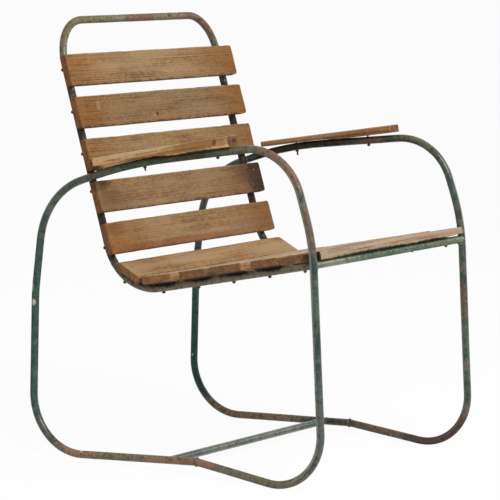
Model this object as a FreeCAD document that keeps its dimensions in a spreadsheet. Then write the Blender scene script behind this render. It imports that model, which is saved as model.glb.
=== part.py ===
import FreeCAD, Part
import math
import os
import Sketcher

# Garden armchair: two closed side hoops of bent steel tube, a bent tube that
# carries the back and the seat, and weathered boards bolted across it.
# Millimetres. The sitter faces -Y, the sitter's right is -X, the floor is z = 0.

V = FreeCAD.Vector
Constraint = Sketcher.Constraint
doc = FreeCAD.newDocument("garden_armchair")
sizes = doc.addObject("Spreadsheet::Sheet", "sizes")
layout = doc.addObject("Spreadsheet::Sheet", "layout")
rows_used = {"sizes": 0, "layout": 0}
SIDES = (("right", -1), ("left", 1))


def cell(sheet, alias, content):
    """Write one named value or formula into the next row of a sheet."""
    rows_used[sheet.Name] += 1
    row = rows_used[sheet.Name]
    sheet.set("A%d" % row, alias)
    sheet.set("B%d" % row, content)
    sheet.setAlias("B%d" % row, alias)


def number(reference):
    """Give the present value of a reference such as sizes.tube_wall."""
    sheet, alias = reference.split(".")
    found = doc.getObject(sheet).get(alias)
    return float(getattr(found, "Value", found))


# Driving sizes, angles in degrees
DRIVING_SIZES = {
    # Tube, and the gap left wherever two pieces meet
    "tube_diameter": 15.0,
    "tube_wall": 1.5,
    "fit_gap": 0.2,
    # Side hoops: spacing of their planes, arm, front leg, rear leg and runner
    "hoop_spacing": 556.0,
    "arm_height": 584.1,
    "arm_front_rise_right": 61.2,
    "arm_front_rise_left": 44.6,
    "arm_front_bend": 113.0,
    "arm_crest_ahead": 28.6,
    "arm_crest_run": 86.0,
    "arm_rear_behind": 172.1,
    "arm_rear_drop": 70.7,
    "arm_rear_bend": 146.0,
    "leg_bow_reach": 60.8,
    "leg_bow_drop": 119.2,
    "leg_bow_bend": 380.0,
    "front_foot_reach": 27.4,
    "front_foot_bend": 100.0,
    "rear_bow_reach": 20.3,
    "rear_bow_drop": 264.5,
    "rear_bow_bend": 328.0,
    "rear_foot_reach": 0.8,
    "rear_foot_bend": 111.0,
    "seam_behind_foot": 174.4,
    "seam_rise_right": 20.3,
    "seam_rise_left": 15.8,
    "seam_bend": 40.0,
    "stretcher_behind_seam": 61.5,
    # Back and seat tube, and the rail between the front legs
    "rail_below_bow": 38.7,
    "seat_slope_angle": 12.28,
    "seat_depth": 458.0,
    "back_rake_angle": 17.74,
    "back_length": 544.2,
    "frame_bend": 104.0,
    "top_bend_right": 86.0,
    "top_bend_left": 72.7,
    "top_leg": 30.0,
    # Back boards
    "back_slat_thickness": 15.0,
    "back_slat_overhang": 8.5,
    "back_slat_gap": 21.7,
    "back_top_margin": 71.8,
    "back_bottom_lap": 18.8,
    "back_bolt_above_1": 7.0,
    "back_bolt_above_2": 7.0,
    "back_bolt_above_3": 7.0,
    "back_bolt_above_4": 16.0,
    "back_bolt_below_5": 12.0,
    # Board across the bend between back and seat
    "rear_slat_width": 56.0,
    "rear_slat_thickness": 15.0,
    "rear_slat_overhang": 6.0,
    "rear_slat_tilt": 3.5,
    "rear_bolt_behind": 9.0,
    # Seat boards
    "seat_slat_thickness": 18.0,
    "seat_slat_overhang": 8.0,
    "seat_slat_gap": 17.6,
    "seat_slat_lap": 17.1,
    "seat_bolt_behind": 5.0,
    "front_slat_width": 65.0,
    "front_slat_thickness": 16.0,
    "front_slat_overhang": 12.0,
    "front_slat_gap": 18.8,
    "front_slat_clearance": 1.0,
    "front_bolt_inset": 23.3,
    # Armrest boards, each tilted a little against the tube that carries it
    "armrest_width": 32.0,
    "right_armrest_length": 341.0,
    "right_armrest_thickness": 16.0,
    "right_armrest_tilt": 1.66,
    "right_armrest_setback": 21.5,
    "right_armrest_bolt_rear": 113.0,
    "right_armrest_bolt_front": 59.0,
    "left_armrest_length": 311.0,
    "left_armrest_thickness": 11.0,
    "left_armrest_tilt": 2.74,
    "left_armrest_setback": 48.0,
    "left_armrest_bolt_rear": 75.0,
    "left_armrest_bolt_front": 63.0,
    "board_round": 2.0,
    # Bolts, whose heads are sunk in the boards, and nuts
    "bolt_diameter": 3.5,
    "bolt_end": 1.4,
    "hole_clearance": 0.3,
    "head_diameter": 7.0,
    "head_height": 1.2,
    "head_sink": 0.3,
    "nut_flats": 6.0,
    "nut_height": 2.8,
    "nut_clearance": 0.1,
    # Weld beads
    "weld_bead": 5.0,
    "seam_bead": 1.8,
}
for name, size in DRIVING_SIZES.items():
    cell(sizes, name, str(size))

# Places worked out from the driving sizes
LAYOUT_FORMULAS = {
    "tube_radius": "=sizes.tube_diameter / 2",
    "bore_radius": "=tube_radius - sizes.tube_wall",
    "seat_radius": "=tube_radius + sizes.fit_gap",
    "hoop_x": "=sizes.hoop_spacing / 2",
    "frame_x": "=hoop_x - sizes.tube_diameter - sizes.fit_gap",
    "slope": "=sizes.seat_slope_angle * 1 deg",
    "rake": "=sizes.back_rake_angle * 1 deg",
    "tool_length": "=4 * sizes.tube_diameter",
    # Front leg, first measured from the corner of its bow
    "leg_bow_z": "=sizes.arm_height - sizes.leg_bow_drop",
    "front_foot_z": "=sizes.front_foot_bend + tube_radius",
    "rear_foot_z": "=sizes.rear_foot_bend + tube_radius",
    "foot_back": "=sizes.front_foot_bend - sizes.front_foot_reach",
    "foot_drop": "=leg_bow_z - front_foot_z",
    "leg_lean": "=asin(sizes.front_foot_bend / sqrt(foot_back ^ 2 + foot_drop ^ 2))"
    " - atan2(foot_back; foot_drop)",
}
for side, sign in SIDES:
    LAYOUT_FORMULAS.update({
        "upper_lean_" + side: "=atan2(sizes.leg_bow_reach;"
        " sizes.leg_bow_drop + sizes.arm_front_rise_%s)" % side,
        "bow_run_" + side: "=sizes.leg_bow_bend * tan((upper_lean_%s - leg_lean) / 2)" % side,
        "bow_back_" + side: "=sizes.leg_bow_bend * cos(leg_lean) - bow_run_%s * sin(leg_lean)" % side,
        "bow_down_" + side: "=sizes.leg_bow_bend * sin(leg_lean) + bow_run_%s * cos(leg_lean)" % side,
        "rail_up_" + side: "=bow_down_%s - sizes.rail_below_bow" % side,
        "rail_back_" + side: "=bow_back_%s - sqrt(sizes.leg_bow_bend ^ 2 - rail_up_%s ^ 2)" % (side, side),
        "rail_lean_" + side: "=asin(rail_up_%s / sizes.leg_bow_bend)" % side,
    })
LAYOUT_FORMULAS.update({
    # The origin lies midway between the foremost and rearmost points of the hoops
    "rail_back": "=(rail_back_right + rail_back_left) / 2",
    "bend_from_bow": "=rail_back + sizes.seat_depth * cos(slope)",
    "rear_from_bow": "=bend_from_bow + sizes.arm_rear_behind + sizes.rear_bow_reach + sizes.rear_foot_reach",
    "leg_bow_y": "=(sizes.front_foot_reach - rear_from_bow) / 2",
    "rail_y": "=leg_bow_y + rail_back",
    "rail_z": "=leg_bow_z - sizes.rail_below_bow",
    "bend_y": "=leg_bow_y + bend_from_bow",
    "bend_z": "=rail_z - sizes.seat_depth * sin(slope)",
    "top_y": "=bend_y + sizes.back_length * sin(rake)",
    "top_z": "=bend_z + sizes.back_length * cos(rake)",
    "arm_front_y": "=leg_bow_y + sizes.leg_bow_reach",
    "arm_crest_y": "=bend_y - sizes.arm_crest_ahead",
    "arm_rear_y": "=bend_y + sizes.arm_rear_behind",
    "arm_rear_z": "=sizes.arm_height - sizes.arm_rear_drop",
    "rear_bow_y": "=arm_rear_y + sizes.rear_bow_reach",
    "rear_bow_z": "=sizes.arm_height - sizes.rear_bow_drop",
    "rear_foot_y": "=rear_bow_y + sizes.rear_foot_reach - sizes.rear_foot_bend",
    "front_foot_y": "=leg_bow_y + foot_back",
    "seam_y": "=front_foot_y + sizes.seam_behind_foot",
    "stretcher_y": "=seam_y + sizes.stretcher_behind_seam",
    "seam_to_rear": "=rear_foot_y - seam_y",
    "rear_arm_slope": "=atan2(sizes.arm_rear_drop; arm_rear_y - arm_crest_y)",
})
for side, sign in SIDES:
    LAYOUT_FORMULAS.update({
        "arm_front_z_" + side: "=sizes.arm_height + sizes.arm_front_rise_" + side,
        "arm_slope_" + side: "=atan2(sizes.arm_front_rise_%s; arm_crest_y - arm_front_y)" % side,
        "arm_crest_bend_" + side: "=sizes.arm_crest_run / tan((rear_arm_slope - arm_slope_%s) / 2)" % side,
        "crest_centre_y_" + side: "=arm_crest_y - sizes.arm_crest_run * cos(arm_slope_{0})"
        " - arm_crest_bend_{0} * sin(arm_slope_{0})".format(side),
        "crest_centre_z_" + side: "=sizes.arm_height + sizes.arm_crest_run * sin(arm_slope_{0})"
        " - arm_crest_bend_{0} * cos(arm_slope_{0})".format(side),
        # Runner, which falls both ways from the seam
        "seam_z_" + side: "=tube_radius + sizes.seam_rise_" + side,
        "rear_above_" + side: "=rear_foot_z - seam_z_" + side,
        "front_above_" + side: "=front_foot_z - seam_z_" + side,
        "rear_fall_" + side: "=asin(sizes.rear_foot_bend / sqrt(seam_to_rear ^ 2 + rear_above_{0} ^ 2))"
        " - atan2(rear_above_{0}; seam_to_rear)".format(side),
        "front_fall_" + side: "=asin(sizes.front_foot_bend"
        " / sqrt(sizes.seam_behind_foot ^ 2 + front_above_{0} ^ 2))"
        " - atan2(front_above_{0}; sizes.seam_behind_foot)".format(side),
        "seam_top_" + side: "=seam_z_{0} - sizes.seam_bend"
        " * (1 / cos((rear_fall_{0} + front_fall_{0}) / 2) - 1)".format(side),
        "stretcher_z_" + side: "=seam_z_{0} - sizes.stretcher_behind_seam * tan(rear_fall_{0})".format(side),
        "leg_y_" + side: "=leg_bow_y + rail_back_" + side,
        # Joints of the top bow with the stiles
        "bow_foot_" + side: "=-sizes.top_bend_%s - sizes.top_leg" % side,
        "join_y_" + side: "=top_y + bow_foot_%s * sin(rake)" % side,
        "join_z_" + side: "=top_z + bow_foot_%s * cos(rake)" % side,
    })
LAYOUT_FORMULAS.update({
    "stretcher_z": "=(stretcher_z_right + stretcher_z_left) / 2",
    "stretcher_tilt": "=atan2(stretcher_z_right - stretcher_z_left; sizes.hoop_spacing)",
    # Bend between back and seat, and the place where the arms cross the stiles
    "half_turn": "=(90 deg - rake + slope) / 2",
    "bend_run": "=sizes.frame_bend * tan(half_turn)",
    "arm_drop": "=((top_y - arm_crest_y) * sin(rear_arm_slope) + (top_z - sizes.arm_height)"
    " * cos(rear_arm_slope)) / cos(rake - rear_arm_slope)",
    "cross_y": "=top_y - arm_drop * sin(rake)",
    "cross_z": "=top_z - arm_drop * cos(rake)",
    # Back boards: three above the arms and two below them
    "back_slat_length": "=sizes.hoop_spacing + 2 * sizes.back_slat_overhang",
    "upper_width": "=(arm_drop - 2.5 * sizes.back_slat_gap - sizes.back_top_margin) / 3",
    "lower_width": "=(sizes.back_length - bend_run + sizes.back_bottom_lap - arm_drop"
    " - 1.5 * sizes.back_slat_gap) / 2",
    "upper_turn": "=90 deg - rake",
    "hollow_radius": "=sizes.frame_bend - seat_radius",
    "lap_lift": "=hollow_radius - sqrt(hollow_radius ^ 2 - sizes.back_bottom_lap ^ 2)",
    "lap_tilt": "=asin(lap_lift / lower_width)",
    # Rear seat board, a chord across the hollow of the bend
    "hollow_turn": "=(90 deg - rake - slope) / 2",
    "hollow_y": "=bend_y - sizes.frame_bend / cos(half_turn) * sin(hollow_turn)",
    "hollow_z": "=bend_z + sizes.frame_bend / cos(half_turn) * cos(hollow_turn)",
    "chord_depth": "=sqrt(hollow_radius ^ 2 - (sizes.rear_slat_width / 2) ^ 2)",
    "rear_slat_turn": "=hollow_turn - sizes.rear_slat_tilt * 1 deg",
    "rear_slat_length": "=sizes.hoop_spacing + 2 * sizes.rear_slat_overhang",
    # Seat boards: four of one width, then the front board between the legs
    "seat_slat_length": "=sizes.hoop_spacing + 2 * sizes.seat_slat_overhang",
    "front_slat_length": "=sizes.hoop_spacing - sizes.tube_diameter - 2 * sizes.front_slat_clearance",
    "seat_start": "=bend_run - sizes.seat_slat_lap",
    "front_slat_rear": "=sizes.seat_depth + sizes.front_slat_overhang - sizes.front_slat_width",
    "seat_slat_width": "=(front_slat_rear - sizes.front_slat_gap - seat_start - 3 * sizes.seat_slat_gap) / 4",
    "front_slat_middle": "=front_slat_rear + sizes.front_slat_width / 2",
    "front_bolt_behind": "=sizes.front_slat_width / 2 - sizes.front_bolt_inset",
    "seat_turn": "=-slope",
    "seat_lap_lift": "=hollow_radius - sqrt(hollow_radius ^ 2 - sizes.seat_slat_lap ^ 2)",
    "seat_lap_tilt": "=asin(seat_lap_lift / seat_slat_width)",
    "seat_lap_turn": "=seat_lap_tilt - slope",
    # Bolts and nuts, measured from the underside of the board that they hold
    "bolt_radius": "=sizes.bolt_diameter / 2",
    "hole_radius": "=bolt_radius + sizes.hole_clearance",
    "head_radius": "=sizes.head_diameter / 2",
    "sink_radius": "=head_radius + sizes.hole_clearance",
    "sink_depth": "=sizes.head_height + sizes.head_sink + sizes.fit_gap",
    "nut_bore": "=bolt_radius + sizes.nut_clearance",
    "nut_corner": "=sizes.nut_flats / 2 / cos(30 deg)",
    "nut_depth": "=2 * seat_radius",
    "drill_depth": "=seat_radius",
    "low_drill_depth": "=seat_radius + (lower_width / 2 + sizes.back_bolt_below_5) * sin(lap_tilt)",
    "low_nut_depth": "=low_drill_depth + tube_radius / cos(lap_tilt)"
    " + nut_corner * tan(lap_tilt) + sizes.fit_gap",
    "lap_drill_depth": "=seat_radius + (seat_slat_width / 2 + sizes.seat_bolt_behind) * sin(seat_lap_tilt)",
    "lap_nut_depth": "=lap_drill_depth + tube_radius / cos(seat_lap_tilt)"
    " + nut_corner * tan(seat_lap_tilt) + sizes.fit_gap",
    "rear_drill_depth": "=sqrt(sizes.frame_bend ^ 2 - sizes.rear_bolt_behind ^ 2) - chord_depth",
    "rear_bolt_lean": "=asin(sizes.rear_bolt_behind / sizes.frame_bend)",
    "rear_nut_depth": "=rear_drill_depth + tube_radius / cos(rear_bolt_lean)"
    " + nut_corner * tan(rear_bolt_lean) + sizes.fit_gap",
})
for side, sign in SIDES:
    LAYOUT_FORMULAS.update({
        # Armrest board, tangent to the crest of the arm near its middle
        "rest_slope_" + side: "=arm_slope_{0} + sizes.{0}_armrest_tilt * 1 deg".format(side),
        "rest_radius_" + side: "=arm_crest_bend_%s + seat_radius" % side,
        "touch_y_" + side: "=crest_centre_y_{0} + rest_radius_{0} * sin(rest_slope_{0})".format(side),
        "touch_z_" + side: "=crest_centre_z_{0} + rest_radius_{0} * cos(rest_slope_{0})".format(side),
        "rest_end_" + side: "=(cross_y - sizes.{0}_armrest_setback - touch_y_{0})"
        " / cos(rest_slope_{0})".format(side),
        "rest_middle_" + side: "=rest_end_{0} - sizes.{0}_armrest_length / 2".format(side),
        "rest_rear_bolt_" + side:
        "=sizes.{0}_armrest_length / 2 - sizes.{0}_armrest_bolt_rear".format(side),
        "rest_front_bolt_" + side:
        "=sizes.{0}_armrest_bolt_front - sizes.{0}_armrest_length / 2".format(side),
        "rear_along_" + side: "=rest_middle_{0} + rest_rear_bolt_{0}".format(side),
        "front_along_" + side: "=rest_middle_{0} + rest_front_bolt_{0}".format(side),
        "rear_bolt_tilt_" + side: "=asin(abs(rear_along_{0}) / arm_crest_bend_{0})".format(side),
        "rest_tilt_" + side: "=sizes.%s_armrest_tilt * 1 deg" % side,
        "rest_rear_drill_" + side:
        "=rest_radius_{0} - arm_crest_bend_{0} * cos(rear_bolt_tilt_{0})".format(side),
        "rest_front_drill_" + side: "=rest_radius_{0} - arm_crest_bend_{0} / cos(rest_tilt_{0})"
        " - front_along_{0} * tan(rest_tilt_{0})".format(side),
        "rest_rear_nut_" + side: "=rest_rear_drill_{0} + tube_radius / cos(rear_bolt_tilt_{0})"
        " + nut_corner * tan(rear_bolt_tilt_{0}) + sizes.fit_gap".format(side),
        "rest_front_nut_" + side: "=rest_front_drill_{0} + tube_radius / cos(rest_tilt_{0})"
        " + nut_corner * tan(rest_tilt_{0}) + sizes.fit_gap".format(side),
    })
for name, formula in LAYOUT_FORMULAS.items():
    cell(layout, name, formula)
doc.recompute()


# Placing and drawing helpers

def bind(thing, **formulas):
    """Bind properties of an object to formulas, with dots written as double underscores."""
    for prop, formula in formulas.items():
        thing.setExpression(prop.replace("__", "."), formula)


def put(thing, x, y, z, turn=None, axis=V(1, 0, 0)):
    """Place an object by formulas, turned about an axis."""
    thing.Placement = FreeCAD.Placement(V(0, 0, 0), FreeCAD.Rotation(axis, 1))
    bind(thing, Placement__Base__x=x, Placement__Base__y=y, Placement__Base__z=z)
    bind(thing, Placement__Rotation__Angle=turn or "0 deg")


def new_sketch(body, name, role):
    """Start a sketch on one of a body's origin planes."""
    sketch = body.newObject("Sketcher::SketchObject", name)
    plane = [feature for feature in body.Origin.OriginFeatures if feature.Role == role][0]
    sketch.AttachmentSupport = [(plane, "")]
    sketch.MapMode = "FlatFace"
    return sketch


def dimension(sketch, formula, kind, *references):
    """Add one dimension to a sketch and bind it to a formula."""
    index = sketch.addConstraint(Constraint(kind, *references))
    sketch.setExpression("Constraints[%d]" % index, formula)


def locate(sketch, geometry, point, across, up, at):
    """Hold a point of the sketch at two bound distances from its origin."""
    dimension(sketch, across, "DistanceX", -1, 1, geometry, point, at.x)
    dimension(sketch, up, "DistanceY", -1, 1, geometry, point, at.y)


def circle(sketch, radius_formula, radius):
    """Draw a circle about the origin of a sketch."""
    ring = sketch.addGeometry(Part.Circle(V(0, 0, 0), V(0, 0, 1), radius), False)
    sketch.addConstraint(Constraint("Coincident", ring, 3, -1, 1))
    dimension(sketch, radius_formula, "Radius", ring, radius)


def rotated(vector, angle):
    """Turn a flat vector anticlockwise."""
    return FreeCAD.Rotation(V(0, 0, 1), math.degrees(angle)).multVec(vector)


def touching_point(outside, centre, radius, direction):
    """Find where a straight from a point touches a bend that is passed clockwise."""
    span = centre - outside
    aside = math.asin(radius / span.Length)
    heading = rotated(span, direction * aside)
    heading.normalize()
    return outside + heading * math.sqrt(span.Length ** 2 - radius ** 2)


def bent_path(sketch, stations, closed):
    """Draw straights joined by tangent bends.

    A station is (kind, y, z, bend): an end of the path, the corner of a bend,
    or the centre of a bend, with references to the cells that hold its place.
    """
    count = len(stations)
    places = [V(number(y), number(z), 0) for kind, y, z, bend in stations]

    def aim(index, other, direction):
        """Give the far end of the straight between two neighbouring stations."""
        if stations[other][0] != "centre":
            return places[other]
        return touching_point(places[index], places[other], number(stations[other][3]), direction)

    bends = []
    for index, (kind, y, z, bend) in enumerate(stations):
        here = places[index]
        before = index - 1
        after = (index + 1) % count
        if kind == "end":
            bends.append((here, here, None, True))
        elif kind == "centre":
            start = touching_point(places[before], here, number(bend), 1)
            finish = touching_point(places[after], here, number(bend), -1)
            bends.append((start, finish, here, False))
        else:
            incoming = here - aim(index, before, -1)
            outgoing = aim(index, after, 1) - here
            incoming.normalize()
            outgoing.normalize()
            run = number(bend) * math.tan(incoming.getAngle(outgoing) / 2)
            leftward = incoming.cross(outgoing).z > 0
            inward = rotated(incoming, math.pi / 2 if leftward else -math.pi / 2)
            start = here - incoming * run
            bends.append((start, here + outgoing * run, start + inward * number(bend), leftward))

    arcs = {}
    lines = {}
    for index, (start, finish, centre, leftward) in enumerate(bends):
        if centre is not None:
            first, last = (start, finish) if leftward else (finish, start)
            angles = [math.atan2(point.y - centre.y, point.x - centre.x) for point in (first, last)]
            curve = Part.ArcOfCircle(Part.Circle(centre, V(0, 0, 1), number(stations[index][3])), *angles)
            arcs[index] = sketch.addGeometry(curve, False)
        if closed or index < count - 1:
            target = bends[(index + 1) % count][0]
            lines[index] = sketch.addGeometry(Part.LineSegment(finish, target), False)

    for index, (kind, y, z, bend) in enumerate(stations):
        incoming = lines.get((index - 1) % count)
        outgoing = lines.get(index)
        if kind == "end":
            line, point = (outgoing, 1) if incoming is None else (incoming, 2)
            locate(sketch, line, point, y, z, places[index])
            continue
        arc = arcs[index]
        entry, leave = (1, 2) if bends[index][3] else (2, 1)
        sketch.addConstraint(Constraint("Tangent", incoming, 2, arc, entry))
        sketch.addConstraint(Constraint("Tangent", arc, leave, outgoing, 1))
        dimension(sketch, bend, "Radius", arc, number(bend))
        if kind == "centre":
            locate(sketch, arc, 3, y, z, places[index])
        else:
            corner = sketch.addGeometry(Part.Point(places[index]), True)
            sketch.addConstraint(Constraint("PointOnObject", corner, 1, incoming))
            sketch.addConstraint(Constraint("PointOnObject", corner, 1, outgoing))
            locate(sketch, corner, 1, y, z, places[index])
    doc.recompute()


def sweep(body, kind, name, path, radius_reference):
    """Run a round section along every edge of a path."""
    section = body.newObject("Sketcher::SketchObject", name + "_section")
    section.AttachmentSupport = [(path, "Edge1")]
    section.MapMode = "NormalToEdge"
    circle(section, radius_reference, number(radius_reference))
    doc.recompute()
    pipe = body.newObject(kind, name)
    pipe.Profile = section
    pipe.Spine = (path, ["Edge%d" % (index + 1) for index in range(len(path.Shape.Edges))])
    doc.recompute()


def boolean_cut(name, base, tools):
    """Take tools out of a base, one after another."""
    for index, tool in enumerate(tools):
        last = index == len(tools) - 1
        result = doc.addObject("Part::Cut", name if last else "%s_stage_%d" % (name, index + 1))
        result.Base = base
        result.Tool = tool
        base = result
    return base


def group(name, members):
    """Gather separate solids in one sub-part."""
    result = doc.addObject("Part::Compound", name)
    result.Links = members
    return result


def link(name, master):
    """Make another copy of a master piece."""
    copy = doc.addObject("App::Link", name)
    copy.LinkedObject = master
    return copy


def rod(name, x, y, z, turn):
    """Make the space that a straight tube takes up, centred on a point of its axis."""
    space = doc.addObject("Part::Cylinder", name)
    bind(space, Radius="layout.seat_radius", Height="layout.tool_length")
    half = "layout.tool_length / 2"
    put(space, x, "%s + %s * sin(%s)" % (y, half, turn), "%s - %s * cos(%s)" % (z, half, turn), turn)
    return space


def cross_rod(name, y, z, tilt="0 deg"):
    """Make the space that a tube lying across the chair takes up, from its right end."""
    space = doc.addObject("Part::Cylinder", name)
    bind(space, Radius="layout.seat_radius", Height="sizes.hoop_spacing")
    put(space, "-layout.hoop_x", y, z, "90 deg + " + tilt, V(0, 1, 0))
    return space


# Boards and their fasteners

def mark_holes(sketch, holes, radius):
    """Draw a circle at each bolt place, given across and along a board."""
    for hole_across, hole_along in holes:
        at = V(number(hole_across[0]) * hole_across[1], number(hole_along), 0)
        hole = sketch.addGeometry(Part.Circle(at, V(0, 0, 1), number(radius)), False)
        dimension(sketch, radius, "Radius", hole, number(radius))
        if hole_across[1]:
            dimension(sketch, "%s * %d" % hole_across, "DistanceX", -1, 1, hole, 3, at.x)
        else:
            sketch.addConstraint(Constraint("PointOnObject", hole, 3, -2))
        dimension(sketch, hole_along, "DistanceY", -1, 1, hole, 3, at.y)
    doc.recompute()


def board(name, x, y, z, turn, across, along, thickness, holes):
    """Make a board with eased long edges and sunk bolt holes, lying on local z = 0."""
    cell(layout, name + "_y", "=" + y)
    cell(layout, name + "_z", "=" + z)
    cell(layout, name + "_turn", "=" + turn)
    doc.recompute()
    body = doc.addObject("PartDesign::Body", name)
    outline = new_sketch(body, name + "_outline", "XY_Plane")
    wide = number(across) / 2
    deep = number(along) / 2
    corners = [V(-wide, -deep, 0), V(wide, -deep, 0), V(wide, deep, 0), V(-wide, deep, 0)]
    edges = []
    for index in range(4):
        edges.append(outline.addGeometry(Part.LineSegment(corners[index], corners[(index + 1) % 4]), False))
    for index, edge in enumerate(edges):
        outline.addConstraint(Constraint("Coincident", edge, 2, edges[(index + 1) % 4], 1))
        outline.addConstraint(Constraint("Vertical" if index % 2 else "Horizontal", edge))
    outline.addConstraint(Constraint("Symmetric", edges[0], 1, edges[2], 1, -1, 1))
    dimension(outline, across, "DistanceX", edges[0], 1, edges[0], 2, 2 * wide)
    dimension(outline, along, "DistanceY", edges[1], 1, edges[1], 2, 2 * deep)
    pad = body.newObject("PartDesign::Pad", name + "_plank")
    pad.Profile = outline
    bind(pad, Length=thickness)
    doc.recompute()
    long_edges = []
    for index, edge in enumerate(pad.Shape.Edges):
        if edge.Length > 1.8 * max(wide, deep):
            long_edges.append("Edge%d" % (index + 1))
    eased = body.newObject("PartDesign::Fillet", name + "_eased")
    eased.Base = (pad, long_edges)
    bind(eased, Radius="sizes.board_round")
    drilling = new_sketch(body, name + "_drilling", "XY_Plane")
    mark_holes(drilling, holes, "layout.hole_radius")
    pocket = body.newObject("PartDesign::Pocket", name + "_bolt_holes")
    pocket.Profile = drilling
    pocket.Type = "ThroughAll"
    pocket.Reversed = True
    sinking = new_sketch(body, name + "_sinking", "XY_Plane")
    bind(sinking, AttachmentOffset__Base__z=thickness)
    mark_holes(sinking, holes, "layout.sink_radius")
    sinks = body.newObject("PartDesign::Pocket", name + "_head_sinks")
    sinks.Profile = sinking
    bind(sinks, Length="layout.sink_depth")
    put(body, x, "layout.%s_y" % name, "layout.%s_z" % name, "layout.%s_turn" % name)
    doc.recompute()
    if not sinks.Shape.Volume < pocket.Shape.Volume < eased.Shape.Volume:
        raise RuntimeError("a bolt hole or head sink was not cut in " + name)
    return body


def on_board(thing, name, x, along, depth):
    """Set a bolt, nut or drill square to a board, some depth below its underside."""
    turn = "layout.%s_turn" % name
    y = "layout.%s_y + (%s) * cos(%s) + (%s) * sin(%s)" % (name, along, turn, depth, turn)
    z = "layout.%s_z + (%s) * sin(%s) - (%s) * cos(%s)" % (name, along, turn, depth, turn)
    put(thing, x, y, z, turn)
    return thing


def make_bolt(name, thickness, depth):
    """Make a cup-head bolt, sunk in a board, that passes a tube and a nut."""
    body = doc.addObject("PartDesign::Body", name)
    profile = new_sketch(body, name + "_profile", "XZ_Plane")
    crown_top = "%s - sizes.head_sink" % thickness
    tip = "%s + sizes.nut_height + sizes.bolt_end" % depth
    shank = number("layout.bolt_radius")
    head = number("layout.head_radius")
    low = -(number(depth) + number("sizes.nut_height") + number("sizes.bolt_end"))
    crown = number("sizes.head_height")
    high = number(thickness) - number("sizes.head_sink") - crown
    dome = (head ** 2 + crown ** 2) / (2 * crown)
    centre = V(0, high + crown - dome, 0)
    points = [V(0, high + crown, 0), V(0, low, 0), V(shank, low, 0), V(shank, high, 0), V(head, high, 0)]
    lines = []
    for start, finish in zip(points, points[1:]):
        lines.append(profile.addGeometry(Part.LineSegment(start, finish), False))
    rim_angle = math.atan2(high - centre.y, head)
    cup = Part.ArcOfCircle(Part.Circle(centre, V(0, 0, 1), dome), rim_angle, math.pi / 2)
    arc = profile.addGeometry(cup, False)
    for first, second in zip(lines, lines[1:]):
        profile.addConstraint(Constraint("Coincident", first, 2, second, 1))
    profile.addConstraint(Constraint("Coincident", lines[3], 2, arc, 1))
    profile.addConstraint(Constraint("Coincident", arc, 2, lines[0], 1))
    profile.addConstraint(Constraint("PointOnObject", arc, 3, -2))
    profile.addConstraint(Constraint("PointOnObject", lines[0], 1, -2))
    profile.addConstraint(Constraint("Vertical", lines[0]))
    profile.addConstraint(Constraint("Horizontal", lines[1]))
    profile.addConstraint(Constraint("Vertical", lines[2]))
    profile.addConstraint(Constraint("Horizontal", lines[3]))
    dimension(profile, "layout.bolt_radius", "DistanceX", -1, 1, lines[1], 2, shank)
    dimension(profile, "layout.head_radius", "DistanceX", -1, 1, lines[3], 2, head)
    dimension(profile, "-(%s)" % tip, "DistanceY", -1, 1, lines[1], 2, low)
    dimension(profile, crown_top + " - sizes.head_height", "DistanceY", -1, 1, lines[3], 2, high)
    dimension(profile, crown_top, "DistanceY", -1, 1, arc, 2, high + crown)
    doc.recompute()
    turned = body.newObject("PartDesign::Revolution", name + "_turned")
    turned.Profile = profile
    turned.ReferenceAxis = (profile, ["V_Axis"])
    turned.Angle = 360
    return body


def fasten(stem, bolt, name, along, depth, drill_depth, xs, kit):
    """Put a bolt, a nut and a drill at each x of a board, and add them to a kit."""
    for x in xs:
        tag = "%s_%d" % (stem, len(kit["bolts"]) + 1)
        kit["bolts"].append(on_board(link(tag + "_bolt", bolt), name, x, along, "0"))
        nut = on_board(link(tag + "_nut", nut_master), name, x, along, "%s + sizes.nut_height" % depth)
        kit["nuts"].append(nut)
        kit["drills"].append(on_board(link(tag + "_drill", drill_master), name, x, along, drill_depth))


def new_kit():
    """Start an empty set of fasteners."""
    return {"bolts": [], "nuts": [], "drills": []}


# Masters of the nut and of the drill, which is centred on its origin
nut_block = doc.addObject("Part::Prism", "nut_block")
nut_block.Polygon = 6
bind(nut_block, Circumradius="layout.nut_corner", Height="sizes.nut_height")
nut_hole = doc.addObject("Part::Cylinder", "nut_hole")
bind(nut_hole, Radius="layout.nut_bore", Height="sizes.nut_height")
nut_master = boolean_cut("nut_master", nut_block, [nut_hole])
drill_bit = doc.addObject("Part::Cylinder", "drill_bit")
bind(drill_bit, Radius="layout.hole_radius", Height="layout.tool_length")
put(drill_bit, "0", "0", "-layout.tool_length / 2")
drill_master = group("drill_master", [drill_bit])

back_bolt = make_bolt("back_bolt", "sizes.back_slat_thickness", "layout.nut_depth")
rear_bolt = make_bolt("rear_bolt", "sizes.rear_slat_thickness", "layout.rear_nut_depth")
seat_bolt = make_bolt("seat_bolt", "sizes.seat_slat_thickness", "layout.nut_depth")
front_bolt = make_bolt("front_bolt", "sizes.front_slat_thickness", "layout.nut_depth")

nodes = []
stiles = ("-layout.frame_x", "layout.frame_x")
stile_holes = [("layout.frame_x", -1), ("layout.frame_x", 1)]

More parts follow.
